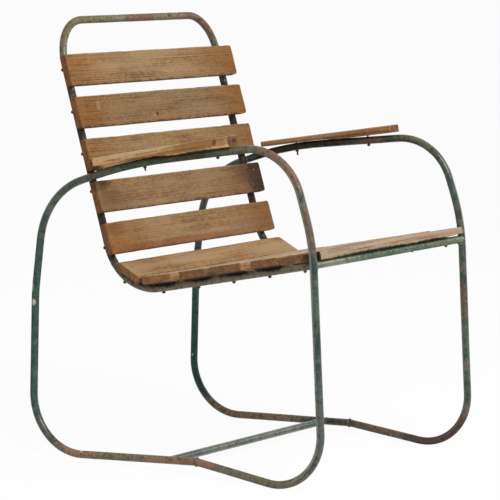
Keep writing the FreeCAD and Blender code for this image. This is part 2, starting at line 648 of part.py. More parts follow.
# Back boards
back_kit = new_kit()
for count in range(1, 6):
    slat_name = "back_slat_%d" % count
    low_slat = count == 5
    if count < 4:
        width = "layout.upper_width"
        drop = "sizes.back_top_margin + %s * %g + sizes.back_slat_gap * %d" % (width, count - 0.5, count - 1)
    else:
        width = "layout.lower_width"
        drop = "layout.arm_drop + %s * %g + sizes.back_slat_gap * %g" % (width, count - 3.5, count - 3.5)
    cell(layout, slat_name + "_drop", "=" + drop)
    if low_slat:
        # The lowest board leans on the start of the bend with its lower edge
        cell(layout, slat_name + "_bolt", "=-sizes.back_bolt_below_5")
        turn = "layout.upper_turn - layout.lap_tilt"
        upper_edge = "(layout.%s_drop - layout.lower_width / 2)" % slat_name
        lean = "(layout.rake + layout.lap_tilt)"
        y = "layout.top_y - %s * sin(layout.rake) - layout.seat_radius * cos(layout.rake)" % upper_edge
        z = "layout.top_z - %s * cos(layout.rake) + layout.seat_radius * sin(layout.rake)" % upper_edge
        y += " - layout.lower_width / 2 * sin(%s)" % lean
        z += " - layout.lower_width / 2 * cos(%s)" % lean
    else:
        cell(layout, slat_name + "_bolt", "=sizes.back_bolt_above_%d" % count)
        turn = "layout.upper_turn"
        y = "layout.top_y - layout.%s_drop * sin(layout.rake)" % slat_name
        z = "layout.top_z - layout.%s_drop * cos(layout.rake)" % slat_name
        y += " - layout.seat_radius * cos(layout.rake)"
        z += " + layout.seat_radius * sin(layout.rake)"
    doc.recompute()
    bolt_along = "layout.%s_bolt" % slat_name
    holes = [(across, bolt_along) for across in stile_holes]
    nodes.append(board(slat_name, "0", y, z, turn, "layout.back_slat_length", width,
                       "sizes.back_slat_thickness", holes))
    prefix = "layout.low_" if low_slat else "layout."
    fasten("back", back_bolt, slat_name, bolt_along, prefix + "nut_depth", prefix + "drill_depth",
           stiles, back_kit)

# Rear seat board
rear_kit = new_kit()
nodes.append(board(
    "rear_seat_slat", "0",
    "layout.hollow_y + layout.chord_depth * sin(layout.rear_slat_turn)",
    "layout.hollow_z - layout.chord_depth * cos(layout.rear_slat_turn)",
    "layout.rear_slat_turn", "layout.rear_slat_length", "sizes.rear_slat_width", "sizes.rear_slat_thickness",
    [(across, "sizes.rear_bolt_behind") for across in stile_holes]))
fasten("rear", rear_bolt, "rear_seat_slat", "sizes.rear_bolt_behind", "layout.rear_nut_depth",
       "layout.rear_drill_depth", stiles, rear_kit)


def seat_place(middle):
    """Give the place of a seat board from the distance of its middle from the bend."""
    y = "layout.bend_y - (%s) * cos(layout.slope) + layout.seat_radius * sin(layout.slope)" % middle
    z = "layout.bend_z + (%s) * sin(layout.slope) + layout.seat_radius * cos(layout.slope)" % middle
    return y, z


# Seat boards, numbered from the back
seat_kit = new_kit()
for count in range(1, 5):
    slat_name = "seat_slat_%d" % count
    if count == 1:
        # The rearmost board leans on the end of the bend with its rear edge
        turn = "layout.seat_lap_turn"
        y, z = seat_place("layout.seat_start + layout.seat_slat_width")
        y += " + layout.seat_slat_width / 2 * cos(%s)" % turn
        z += " + layout.seat_slat_width / 2 * sin(%s)" % turn
        prefix = "layout.lap_"
    else:
        turn = "layout.seat_turn"
        steps = (count - 0.5, count - 1)
        middle = "layout.seat_start + layout.seat_slat_width * %g + sizes.seat_slat_gap * %d" % steps
        y, z = seat_place(middle)
        prefix = "layout."
    holes = [(across, "sizes.seat_bolt_behind") for across in stile_holes]
    nodes.append(board(slat_name, "0", y, z, turn, "layout.seat_slat_length",
                       "layout.seat_slat_width", "sizes.seat_slat_thickness", holes))
    fasten("seat", seat_bolt, slat_name, "sizes.seat_bolt_behind", prefix + "nut_depth",
           prefix + "drill_depth", stiles, seat_kit)

front_kit = new_kit()
y, z = seat_place("layout.front_slat_middle")
nodes.append(board("front_seat_slat", "0", y, z, "layout.seat_turn", "layout.front_slat_length",
                   "sizes.front_slat_width", "sizes.front_slat_thickness",
                   [(across, "layout.front_bolt_behind") for across in stile_holes]))
fasten("front", front_bolt, "front_seat_slat", "layout.front_bolt_behind", "layout.nut_depth",
       "layout.drill_depth", stiles, front_kit)

# Armrests and side hoops
rest_kit = new_kit()
for side, sign in SIDES:
    rest_name = side + "_armrest"
    hoop_x = "layout.hoop_x * %d" % sign
    slope = "layout.rest_slope_" + side
    middle = "layout.rest_middle_" + side
    rear = "layout.rest_rear_bolt_" + side
    front = "layout.rest_front_bolt_" + side
    nodes.append(board(
        rest_name, hoop_x,
        "layout.touch_y_%s + %s * cos(%s)" % (side, middle, slope),
        "layout.touch_z_%s - %s * sin(%s)" % (side, middle, slope),
        "-" + slope, "sizes.armrest_width", "sizes.%s_armrest_length" % side,
        "sizes.%s_armrest_thickness" % side,
        [(("layout.hoop_x", 0), rear), (("layout.hoop_x", 0), front)]))
    rest_bolt = make_bolt(side + "_rest_bolt", "sizes.%s_armrest_thickness" % side,
                          "layout.rest_front_nut_" + side)
    hoop_kit = new_kit()
    for place, along in (("rear", rear), ("front", front)):
        fasten(side + "_" + place, rest_bolt, rest_name, along, "layout.rest_%s_nut_%s" % (place, side),
               "layout.rest_%s_drill_%s" % (place, side), (hoop_x,), hoop_kit)
    rest_kit["bolts"] += hoop_kit["bolts"]
    rest_kit["nuts"] += hoop_kit["nuts"]

    tube = doc.addObject("PartDesign::Body", side + "_hoop_tube")
    path = new_sketch(tube, side + "_hoop_path", "YZ_Plane")
    bent_path(path, [
        ("centre", "layout.rear_foot_y", "layout.rear_foot_z", "sizes.rear_foot_bend"),
        ("corner", "layout.seam_y", "layout.seam_z_" + side, "sizes.seam_bend"),
        ("centre", "layout.front_foot_y", "layout.front_foot_z", "sizes.front_foot_bend"),
        ("corner", "layout.leg_bow_y", "layout.leg_bow_z", "sizes.leg_bow_bend"),
        ("corner", "layout.arm_front_y", "layout.arm_front_z_" + side, "sizes.arm_front_bend"),
        ("corner", "layout.arm_crest_y", "sizes.arm_height", "layout.arm_crest_bend_" + side),
        ("corner", "layout.arm_rear_y", "layout.arm_rear_z", "sizes.arm_rear_bend"),
        ("corner", "layout.rear_bow_y", "layout.rear_bow_z", "sizes.rear_bow_bend"),
    ], True)
    sweep(tube, "PartDesign::AdditivePipe", side + "_hoop_outside", path, "layout.tube_radius")
    sweep(tube, "PartDesign::SubtractivePipe", side + "_hoop_bore", path, "layout.bore_radius")
    put(tube, hoop_x, "0", "0")
    drills = group(side + "_hoop_drills", hoop_kit["drills"])
    nodes.append(boolean_cut(side + "_side_hoop", tube, [drills]))

# Back and seat tube: two side runs joined by the bow of the top rail
frame_tube = doc.addObject("PartDesign::Body", "back_seat_tube")
runs = []
for side, sign in SIDES:
    path = new_sketch(frame_tube, side + "_run_path", "YZ_Plane")
    bind(path, AttachmentOffset__Base__z="layout.frame_x * %d" % sign)
    bent_path(path, [
        ("end", "layout.rail_y", "layout.rail_z", None),
        ("corner", "layout.bend_y", "layout.bend_z", "sizes.frame_bend"),
        ("end", "layout.join_y_" + side, "layout.join_z_" + side, None),
    ], False)
    runs.append((side + "_run", path))
cell(layout, "bow_right", "=-frame_x")
cell(layout, "bow_top", "0")
doc.recompute()
path = new_sketch(frame_tube, "top_bow_path", "XZ_Plane")
path.AttachmentOffset = FreeCAD.Placement(V(0, 0, 0), FreeCAD.Rotation(V(1, 0, 0), 1))
bind(path, AttachmentOffset__Base__y="layout.top_z", AttachmentOffset__Base__z="-layout.top_y",
     AttachmentOffset__Rotation__Angle="-layout.rake")
bent_path(path, [
    ("end", "layout.bow_right", "layout.bow_foot_right", None),
    ("corner", "layout.bow_right", "layout.bow_top", "sizes.top_bend_right"),
    ("corner", "layout.frame_x", "layout.bow_top", "sizes.top_bend_left"),
    ("end", "layout.frame_x", "layout.bow_foot_left", None),
], False)
runs.append(("top_bow", path))
for name, path in runs:
    sweep(frame_tube, "PartDesign::AdditivePipe", name + "_outside", path, "layout.tube_radius")
for name, path in runs:
    sweep(frame_tube, "PartDesign::SubtractivePipe", name + "_bore", path, "layout.bore_radius")
frame_drills = []
for kit in (back_kit, rear_kit, seat_kit, front_kit):
    frame_drills += kit["drills"]
rail_space = cross_rod("rail_space", "layout.rail_y", "layout.rail_z")
nodes.append(boolean_cut("back_seat_frame", frame_tube, [rail_space, group("frame_drills", frame_drills)]))


def cross_tube(name, y, z, turn, spaces):
    """Make a straight tube across the chair, coped at both ends on the hoops."""
    body = doc.addObject("PartDesign::Body", name + "_tube")
    ring = new_sketch(body, name + "_ring", "YZ_Plane")
    bind(ring, AttachmentOffset__Base__z="-layout.hoop_x")
    circle(ring, "layout.tube_radius", number("layout.tube_radius"))
    circle(ring, "layout.bore_radius", number("layout.bore_radius"))
    pad = body.newObject("PartDesign::Pad", name + "_length")
    pad.Profile = ring
    bind(pad, Length="sizes.hoop_spacing")
    put(body, "0", y, z, turn, V(0, 1, 0))
    return boolean_cut(name, body, spaces)


runner_spaces = []
leg_spaces = []
for side, sign in SIDES:
    hoop_x = "layout.hoop_x * %d" % sign
    runner_turn = "(-90 deg - layout.rear_fall_%s)" % side
    runner_spaces.append(rod(side + "_runner_space", hoop_x, "layout.stretcher_y",
                             "layout.stretcher_z_" + side, runner_turn))
    leg_spaces.append(rod(side + "_leg_space", hoop_x, "layout.leg_y_" + side, "layout.rail_z",
                          "(-layout.rail_lean_%s)" % side))
nodes.append(cross_tube("floor_stretcher", "layout.stretcher_y", "layout.stretcher_z",
                        "layout.stretcher_tilt", runner_spaces))
nodes.append(cross_tube("front_seat_rail", "layout.rail_y", "layout.rail_z", None, leg_spaces))


# Weld beads, each a lump of metal with the tubes taken out of it

def crotch_bead(name, x, y, z, spaces):
    """Fill the corner between tubes that meet."""
    lump = doc.addObject("Part::Sphere", name + "_lump")
    bind(lump, Radius="sizes.weld_bead")
    put(lump, x, y, z)
    return boolean_cut(name, lump, spaces)


def ring_bead(name, x, y, z, turn, axis, radius, spaces):
    """Lay a ring of weld about a point, square to the turned Z axis."""
    ring = doc.addObject("Part::Torus", name + "_ring")
    bind(ring, Radius1=radius, Radius2="sizes.seam_bead")
    put(ring, x, y, z, turn, axis)
    return boolean_cut(name, ring, spaces)


stretcher_space = cross_rod("stretcher_space", "layout.stretcher_y", "layout.stretcher_z_right",
                            "layout.stretcher_tilt")
stretcher_welds = []
front_rail_welds = []
side_rail_welds = []
arm_welds = []
seam_welds = []
for index, (side, sign) in enumerate(SIDES):
    hoop_x = "layout.hoop_x * %d" % sign
    run_x = "layout.frame_x * %d" % sign
    corner_x = "(layout.hoop_x - layout.tube_radius) * %d" % sign
    for place, way in (("front", "-"), ("rear", "+")):
        stretcher_welds.append(crotch_bead(
            "%s_%s_stretcher_weld" % (side, place), corner_x,
            "layout.stretcher_y %s layout.tube_radius" % way, "layout.stretcher_z_" + side,
            [runner_spaces[index], stretcher_space]))

    run_space = rod(side + "_run_space", run_x, "layout.rail_y", "layout.rail_z", "(90 deg - layout.slope)")
    front_rail_welds.append(crotch_bead(
        side + "_rail_weld", corner_x, "layout.leg_y_" + side, "layout.rail_z - layout.tube_radius",
        [leg_spaces[index], rail_space, run_space]))
    side_rail_welds.append(crotch_bead(
        side + "_run_weld", "(layout.frame_x - layout.tube_radius) * %d" % sign,
        "layout.rail_y + layout.tube_radius * cos(layout.slope)",
        "layout.rail_z - layout.tube_radius * sin(layout.slope)", [run_space, rail_space]))

    # The arm and the stile touch side by side, with a ring of weld about the touching point
    arm_turn = "(-90 deg - layout.rear_arm_slope)"
    arm_space = rod(side + "_arm_space", hoop_x, "layout.cross_y", "layout.cross_z", arm_turn)
    stile_space = rod(side + "_stile_space", run_x, "layout.cross_y", "layout.cross_z", "(-layout.rake)")
    arm_welds.append(ring_bead(
        side + "_arm_weld", "(layout.hoop_x - layout.tube_radius - sizes.fit_gap / 2) * %d" % sign,
        "layout.cross_y", "layout.cross_z", "90 deg", V(0, 1, 0),
        "layout.tube_radius - sizes.seam_bead", [arm_space, stile_space]))

    seam_turn = "(-90 deg + (layout.front_fall_{0} - layout.rear_fall_{0}) / 2)".format(side)
    seam_z = "layout.seam_top_" + side
    seam_space = rod(side + "_seam_space", hoop_x, "layout.seam_y", seam_z, seam_turn)
    seam_welds.append(ring_bead(side + "_seam_weld", hoop_x, "layout.seam_y", seam_z, seam_turn,
                                V(1, 0, 0), "layout.tube_radius", [seam_space]))
nodes.append(group("stretcher_welds", stretcher_welds))
nodes.append(group("front_rail_welds", front_rail_welds))
nodes.append(group("side_rail_welds", side_rail_welds))
nodes.append(group("arm_welds", arm_welds))
nodes.append(group("seam_welds", seam_welds))

# Fasteners, one sub-part for each kind
for name, kit in (("back_slat", back_kit), ("rear_slat", rear_kit), ("seat_slat", seat_kit),
                  ("front_slat", front_kit), ("armrest", rest_kit)):
    nodes.append(group(name + "_bolts", kit["bolts"]))
    nodes.append(group(name + "_nuts", kit["nuts"]))

doc.recompute()
for item in doc.Objects:
    if "Invalid" in item.State or "Error" in item.State:
        raise RuntimeError("%s did not compute" % item.Name)
os.makedirs("parts", exist_ok=True)
for node in nodes:
    node.Label = node.Name
    if node.Shape.isNull() or not node.Shape.isValid() or not node.Shape.Solids:
        raise RuntimeError("%s has no sound shape" % node.Label)
    node.Shape.exportStep("parts/%s.step" % node.Label)
    print(node.Label, len(node.Shape.Solids), round(node.Shape.Volume, 1))
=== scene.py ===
import math

import bmesh
import bpy
from bpy.props import FloatProperty, FloatVectorProperty, PointerProperty
from mathutils import Matrix, Vector, noise


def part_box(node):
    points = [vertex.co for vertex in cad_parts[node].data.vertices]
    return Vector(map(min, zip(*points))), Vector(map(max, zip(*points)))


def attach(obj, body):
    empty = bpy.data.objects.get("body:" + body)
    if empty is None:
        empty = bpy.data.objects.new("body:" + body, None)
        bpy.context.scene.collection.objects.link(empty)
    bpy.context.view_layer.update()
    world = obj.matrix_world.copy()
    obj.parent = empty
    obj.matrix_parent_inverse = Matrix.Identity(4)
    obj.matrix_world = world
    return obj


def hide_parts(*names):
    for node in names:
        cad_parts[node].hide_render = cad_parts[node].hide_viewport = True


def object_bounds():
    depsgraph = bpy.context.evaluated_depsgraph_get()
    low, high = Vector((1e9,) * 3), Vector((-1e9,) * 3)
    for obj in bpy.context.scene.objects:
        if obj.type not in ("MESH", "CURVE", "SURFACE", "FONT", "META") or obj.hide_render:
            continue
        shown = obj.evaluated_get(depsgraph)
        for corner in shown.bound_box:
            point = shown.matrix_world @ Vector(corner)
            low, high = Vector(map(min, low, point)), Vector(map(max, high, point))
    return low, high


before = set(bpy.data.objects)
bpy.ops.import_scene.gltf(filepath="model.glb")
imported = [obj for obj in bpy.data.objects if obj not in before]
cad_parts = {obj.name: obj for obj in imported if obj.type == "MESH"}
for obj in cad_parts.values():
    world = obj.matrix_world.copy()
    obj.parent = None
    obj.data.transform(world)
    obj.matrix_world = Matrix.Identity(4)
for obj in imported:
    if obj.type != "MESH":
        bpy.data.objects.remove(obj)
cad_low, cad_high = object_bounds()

bl_info = {
    "name": "Garden Armchair",
    "version": (1, 0, 0),
    "blender": (4, 5, 0),
    "location": "View3D > Sidebar > Armchair",
    "description": "Weathered boards, old paint and studio for a tube garden armchair",
    "category": "Object",
}

BODY = "root"
TUBES = ("right_side_hoop", "left_side_hoop", "back_seat_frame", "front_seat_rail", "floor_stretcher")
BACK_SLATS = tuple("back_slat_%d" % count for count in range(1, 6))
SEAT_SLATS = ("rear_seat_slat",) + tuple("seat_slat_%d" % count for count in range(1, 5))
MM = 0.001

# Shapes of the boards: shading angle, rails either side, seats under the bolt heads, and splits
SHARP_ANGLE = math.radians(62)
RAIL_REACH = 262 * MM
HEAD_RADIUS = 3.6 * MM
HEAD_DEPTH = 0.55 * MM
HEAD_SIDES = 12
SPLIT_WIDTH = 1.1 * MM

# Grain of the wood: the width of a ring, how far it wanders, and the shift from board to board
RING_WIDTH = 4.4 * MM
RING_WANDER = 6 * MM
SEED_STEP = (0.37, 0.11, 0.05)

# The side of a front leg that gets a painted highlight streak
HIGHLIGHT_SIDE = (-0.89, 0.45, 0.0)

# Lamps, floor and camera
KEY_PLACE = (-1.0, -2.5, 2.9)
KEY_SIZE = 2.0
FILL_PLACE = (2.4, -1.8, 1.6)
FILL_SIZE = 1.8
FLOOR_REACH = 40.0
FLOOR_GLOW = 0.94
SENSOR_WIDTH = 36.0


def tint(red, green, blue):
    """Turn a screen colour, 0 to 255 a channel, into scene values."""
    linear = []
    for channel in (red, green, blue):
        share = channel / 255
        linear.append(share / 12.92 if share <= 0.04045 else ((share + 0.055) / 1.055) ** 2.4)
    return tuple(linear)


def scaled(shade, factor):
    """Lighten or darken a colour."""
    return [part * factor for part in shade]


# Settings that a user would change

def colour(name, description, shade):
    """Declare one colour setting."""
    return FloatVectorProperty(name=name, description=description, subtype="COLOR", size=3,
                               min=0.0, max=1.0, default=tint(*shade))


def length(name, description, millimetres):
    """Declare one size setting, kept in metres."""
    return FloatProperty(name=name, description=description, subtype="DISTANCE", unit="LENGTH",
                         min=0.0, default=millimetres * MM)


class WoodSettings(bpy.types.PropertyGroup):
    """Sizes and colours of the boards."""
    early: colour("Early wood", "Pale wood between the growth rings", (160, 126, 86))
    late: colour("Late wood", "Dark wood of the growth rings", (98, 68, 42))
    weathered: colour("Weathered", "Wood bleached by sun and rain", (162, 136, 106))
    end: colour("End grain", "Sawn ends of the boards", (128, 89, 58))
    stain: colour("Rust stain", "Wood stained black by a rusty bolt", (46, 32, 24))
    warm: colour("Warm wood", "Orange wood near the ends of a board", (140, 92, 43))
    # The dark edge colour is painted shade along the lower long edge of a board, and also the colour of
    # dirt and dark marks
    shade: colour("Dark edge", "Painted shade on the lower edge of a board, also dirt", (78, 52, 36))
    # Deep shade colour: painted shade under the ends and undersides of the seat boards, and in marks of
    # painted shade on the front board and right armrest
    deep_shade: colour("Black damp", "Painted shade under the ends and undersides", (26, 18, 14))
    grey: colour("Grey wood", "Bare wood greyed by rain", (160, 144, 122))
    # The top highlight colour is a painted highlight on the tops of the boards
    rubbed: colour("Rubbed", "Tops rubbed pale by use", (212, 184, 152))
    knot: colour("Knot", "Knots in the boards", (74, 44, 28))
    corner: length("Corner round", "Rounding of the corners of a board", 5.0)
    arris: length("Edge round", "Rounding of the edges of a board", 1.6)
    wear: length("Edge wear", "How deep the edges are worn away", 1.4)
    step: length("Mesh step", "Spacing of the cuts along a board", 6.0)


class PaintSettings(bpy.types.PropertyGroup):
    """Colours of the painted tubes and the steel."""
    green: colour("Green", "Old paint in the shade", (22, 50, 42))
    faded: colour("Faded green", "Old paint bleached by the sun", (60, 85, 74))
    olive: colour("Olive", "Paint rubbed down to its undercoat", (108, 98, 76))
    rust: colour("Rust", "Rust that broke through the paint", (128, 96, 78))
    # Dark rust and grime, also used for painted shade on the seat rails under the seat boards
    dark_rust_and_shade: colour("Dark rust", "Deep rust and grime", (46, 36, 30))
    chip: colour("Chip", "Small pale chips", (206, 200, 182))
    head: colour("Head rust", "Bolt heads as brown as the wood", (134, 98, 68))
    bolt: colour("Bolt rust", "Rusty heads, shanks and nuts", (64, 46, 36))
    braze: colour("Braze", "Filler metal at the front joints", (120, 110, 72))


class StageSettings(bpy.types.PropertyGroup):
    """Camera, floor and light."""
    camera_place: FloatVectorProperty(name="Camera place", description="Where the camera stands",
                                      subtype="XYZ", unit="LENGTH", size=3,
                                      default=(-4.6533, -3.03575, 1.0952))
    camera_turn: FloatVectorProperty(name="Camera turn", description="Azimuth, elevation and roll",
                                     subtype="EULER", unit="ROTATION", size=3,
                                     default=[math.radians(angle) for angle in (-56.759, 7.11, 1.28)])
    lens: FloatProperty(name="Lens", description="Focal length", unit="CAMERA", default=204.283)
    floor: colour("Floor", "Pale studio floor", (240, 240, 238))
    key: FloatProperty(name="Key light", description="Power of the large soft lamp", unit="POWER",
                       default=118.0)
    fill: FloatProperty(name="Fill light", description="Power of the lamp opposite", unit="POWER",
                        default=20.0)
    sky: FloatProperty(name="Room light", description="Strength of the light from all round",
                       default=0.36)


# Small shader tools

class Shader:
    """A node tree with short ways to add and wire its nodes."""

    def __init__(self, tree):
        self.tree = tree

    def add(self, kind, inputs=(), **options):
        """Add a node, set its options and fill or wire its inputs."""
        made = self.tree.nodes.new(kind)
        for key, value in options.items():
            setattr(made, key, value)
        for key, value in dict(inputs).items():
            self.feed(made.inputs[key], value)
        return made

    def feed(self, socket, value):
        """Wire another socket in, or set a plain value."""
        if isinstance(value, bpy.types.NodeSocket):
            self.tree.links.new(value, socket)
        elif socket.type == "RGBA":
            socket.default_value = (*value, 1.0)
        else:
            socket.default_value = value

    def maths(self, operation, *values):
        """Work out a number."""
        return self.add("ShaderNodeMath", enumerate(values), operation=operation).outputs[0]

    def times(self, first, second):
        """Multiply two numbers."""
        return self.maths("MULTIPLY", first, second)

    def plus(self, first, second):
        """Add two numbers."""
        return self.maths("ADD", first, second)

    def vector(self, operation, *values):
        """Work out a vector, or its length or its share along another."""
        made = self.add("ShaderNodeVectorMath", enumerate(values), operation=operation)
        return made.outputs["Value" if operation in ("LENGTH", "DOT_PRODUCT") else "Vector"]

    def blend(self, factor, under, over):
        """Lay one colour over another."""
        made = self.add("ShaderNodeMix", {0: factor, 6: under, 7: over}, data_type="RGBA")
        return made.outputs[2]

    def ease(self, value, low, high, start=0.0, stop=1.0):
        """Rise smoothly from start to stop between two limits."""
        made = self.add("ShaderNodeMapRange", {"Value": value, "From Min": low, "From Max": high,
                                               "To Min": start, "To Max": stop},
                        interpolation_type="SMOOTHSTEP")
        return made.outputs["Result"]

    def cloud(self, vector, scale, detail=3.0, roughness=0.55, distortion=0.0):
        """Noise from 0 to 1."""
        made = self.add("ShaderNodeTexNoise", {"Vector": vector, "Scale": scale, "Detail": detail,
                                               "Roughness": roughness, "Distortion": distortion})
        return made.outputs[0]

    def group(self, name, inputs):
        """Place a shared effect, and build it where it is first needed."""
        if name not in bpy.data.node_groups:
            SHARED_EFFECTS[name]()
        return self.add("ShaderNodeGroup", inputs, node_tree=bpy.data.node_groups[name]).outputs

    def patches(self, vector, size, cover, softness):
        """Mask islands of wear over a surface."""
        made = self.group("Worn patches", {"Vector": vector, "Size": size, "Cover": cover,
                                           "Softness": softness})
        return made["Mask"]

    def spot(self, vector, centre, reach, ragged):
        """Mask a ragged patch about a point."""
        made = self.group("Ragged spot", {"Vector": vector, "Centre": centre, "Reach": reach,
                                          "Ragged": ragged})
        return made["Mask"]


def new_group(name, vectors, values, masks):
    """Start a shared effect with named vectors and values going in, and masks coming out."""
    tree = bpy.data.node_groups.new(name, "ShaderNodeTree")
    for names, way, kind in ((vectors, "INPUT", "Vector"), (values, "INPUT", "Float"),
                             (masks, "OUTPUT", "Float")):
        for socket in names:
            tree.interface.new_socket(name=socket, in_out=way, socket_type="NodeSocket" + kind)
    shader = Shader(tree)
    return shader, shader.add("NodeGroupInput").outputs, shader.add("NodeGroupOutput").inputs


def make_spot_group():
    """A ragged patch about a point."""
    shader, given, result = new_group("Ragged spot", ["Vector", "Centre", "Reach"], ["Ragged"], ["Mask"])
    away = shader.vector("SUBTRACT", given["Vector"], given["Centre"])
    share = shader.vector("DIVIDE", away, given["Reach"])
    distance = shader.vector("LENGTH", share)
    rough = shader.maths("SUBTRACT", shader.cloud(given["Vector"], 110.0, 4.0, 0.65), 0.5)
    torn = shader.maths("MULTIPLY_ADD", rough, given["Ragged"], distance)
    shader.feed(result["Mask"], shader.ease(torn, 1.0, 0.45))


def make_patch_group():
    """Islands of wear spread over a surface."""
    shader, given, result = new_group("Worn patches", ["Vector"], ["Size", "Cover", "Softness"], ["Mask"])
    scale = shader.maths("DIVIDE", 1.0, given["Size"])
    cloud = shader.cloud(given["Vector"], scale, 5.0, 0.62, 0.3)
    limit = shader.maths("MULTIPLY_ADD", given["Cover"], -0.5, 0.75)
    low = shader.maths("SUBTRACT", limit, given["Softness"])
    high = shader.plus(limit, given["Softness"])
    shader.feed(result["Mask"], shader.ease(cloud, low, high))


def make_grain_group():
    """Growth rings about a pith line along X, with fibres, streaks and tonal bands."""
    shader, given, result = new_group("Board grain", ["Vector", "Pith"], ["Ring width", "Wander"],
                                      ["Rings", "Streaks", "Fibres", "Bands"])
    slow = shader.vector("MULTIPLY", given["Vector"], (2.2, 12.0, 12.0))
    drift = shader.maths("SUBTRACT", shader.cloud(slow, 1.0, 2.0, 0.5), 0.5)
    away = shader.vector("SUBTRACT", given["Vector"], given["Pith"])
    flat = shader.vector("MULTIPLY", away, (0.035, 1.0, 1.0))
    radius = shader.vector("LENGTH", flat)
    bent = shader.maths("MULTIPLY_ADD", drift, given["Wander"], radius)
    turns = shader.maths("DIVIDE", bent, given["Ring width"])
    share = shader.maths("FRACT", turns)
    rise = shader.ease(share, 0.15, 0.86)
    fall = shader.ease(share, 0.9, 1.0, 1.0, 0.0)
    shader.feed(result["Rings"], shader.times(rise, fall))
    streaks = shader.vector("MULTIPLY", given["Vector"], (1.3, 190.0, 190.0))
    shader.feed(result["Streaks"], shader.cloud(streaks, 1.0, 2.0, 0.45))
    fibres = shader.vector("MULTIPLY", given["Vector"], (9.0, 620.0, 620.0))
    shader.feed(result["Fibres"], shader.cloud(fibres, 1.0, 3.0, 0.6))
    bands = shader.vector("MULTIPLY", given["Vector"], (2.6, 30.0, 30.0))
    shader.feed(result["Bands"], shader.cloud(bands, 1.0, 2.0, 0.45, 0.2))


SHARED_EFFECTS = {"Ragged spot": make_spot_group, "Worn patches": make_patch_group,
                  "Board grain": make_grain_group}


def new_material(name):
    """Start a material with its shader and its object coordinates."""
    material = bpy.data.materials.new(name)
    material.use_nodes = True
    shader = Shader(material.node_tree)
    surface = material.node_tree.nodes["Principled BSDF"]
    place = shader.add("ShaderNodeTexCoord").outputs
    return material, shader, surface, place


def add_bump(shader, surface, height, distance, strength=1.0):
    """Raise the surface by a height in its normal."""
    bump = shader.add("ShaderNodeBump", {"Height": height, "Distance": distance, "Strength": strength})
    shader.feed(surface.inputs["Normal"], bump.outputs["Normal"])


# Boards

class Plank:
    """The place and size of a board, read from its solid."""

    def __init__(self, name):
        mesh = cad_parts[name].data
        areas = {}
        for face in mesh.polygons:
            key = tuple(round(abs(part), 2) for part in face.normal)
            total, normal = areas.get(key, (0.0, face.normal.copy()))
            areas[key] = (total + face.area, normal)
        up = max(areas.values(), key=lambda item: item[0])[1]
        up = up if up.z > 0 else -up
        low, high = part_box(name)
        along = Vector((1, 0, 0)) if high.x - low.x > 0.2 else Vector((1, 0, 0)).cross(up)
        across = up.cross(along)
        self.name = name
        self.turn = Matrix((along, across, up))
        local = [self.turn @ vertex.co for vertex in mesh.vertices]
        lowest = Vector([min(point[axis] for point in local) for axis in range(3)])
        highest = Vector([max(point[axis] for point in local) for axis in range(3)])
        self.middle = (lowest + highest) / 2
        self.size = highest - lowest

    def to_world(self):
        """Give the matrix from board to chair coordinates."""
        return self.turn.transposed().to_4x4() @ Matrix.Translation(self.middle)

    def to_board(self, point):
        """Give a chair point in board coordinates."""
        return self.turn @ point - self.middle

    def heads(self, bolts):
        """Find the middles of the bolt heads sunk in this board."""
        found = []
        half = self.size / 2
        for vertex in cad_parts[bolts].data.vertices:
            spot = self.to_board(vertex.co)
            if abs(spot.x) > half.x or abs(spot.y) > half.y or not half.z - 2.5 * MM < spot.z < half.z:
                continue
            near = [row for row in found if (row[0].xy - spot.xy).length < 0.02]
            if near:
                near[0].append(spot)
            else:
                found.append([spot])
        middles = []
        for row in found:
            xs = [spot.x for spot in row]
            ys = [spot.y for spot in row]
            middles.append(Vector(((min(xs) + max(xs)) / 2, (min(ys) + max(ys)) / 2, half.z)))
        return middles


def slice_board(bm, size, step):
    """Cut a board across and along, so that its surface can be worn."""
    for axis, spacing in ((0, step), (1, step * 0.7), (2, step * 0.8)):
        normal = Vector([1.0 if index == axis else 0.0 for index in range(3)])
        count = max(2, round(size[axis] / spacing))
        for index in range(1, count):
            offset = (index / count - 0.5) * size[axis]
            bmesh.ops.bisect_plane(bm, geom=bm.verts[:] + bm.edges[:] + bm.faces[:], dist=1e-6,
                                   plane_co=normal * offset, plane_no=normal)


def open_split(bm, size, split):
    """Cut a drying split into one end of a board: end, place across, length and depth."""
    end, across, reach, depth = split
    for shift in (-SPLIT_WIDTH, 0.0, SPLIT_WIDTH):
        bmesh.ops.bisect_plane(bm, geom=bm.verts[:] + bm.edges[:] + bm.faces[:], dist=1e-7,
                               plane_co=(0, across + shift, 0), plane_no=(0, 1, 0))
    for vertex in bm.verts:
        inward = size.x / 2 - end * vertex.co.x
        if abs(vertex.co.y - across) < 1e-5 and inward < reach and vertex.co.z > 0:
            vertex.co.z -= depth * (1 - inward / reach) * vertex.co.z / (size.z / 2)


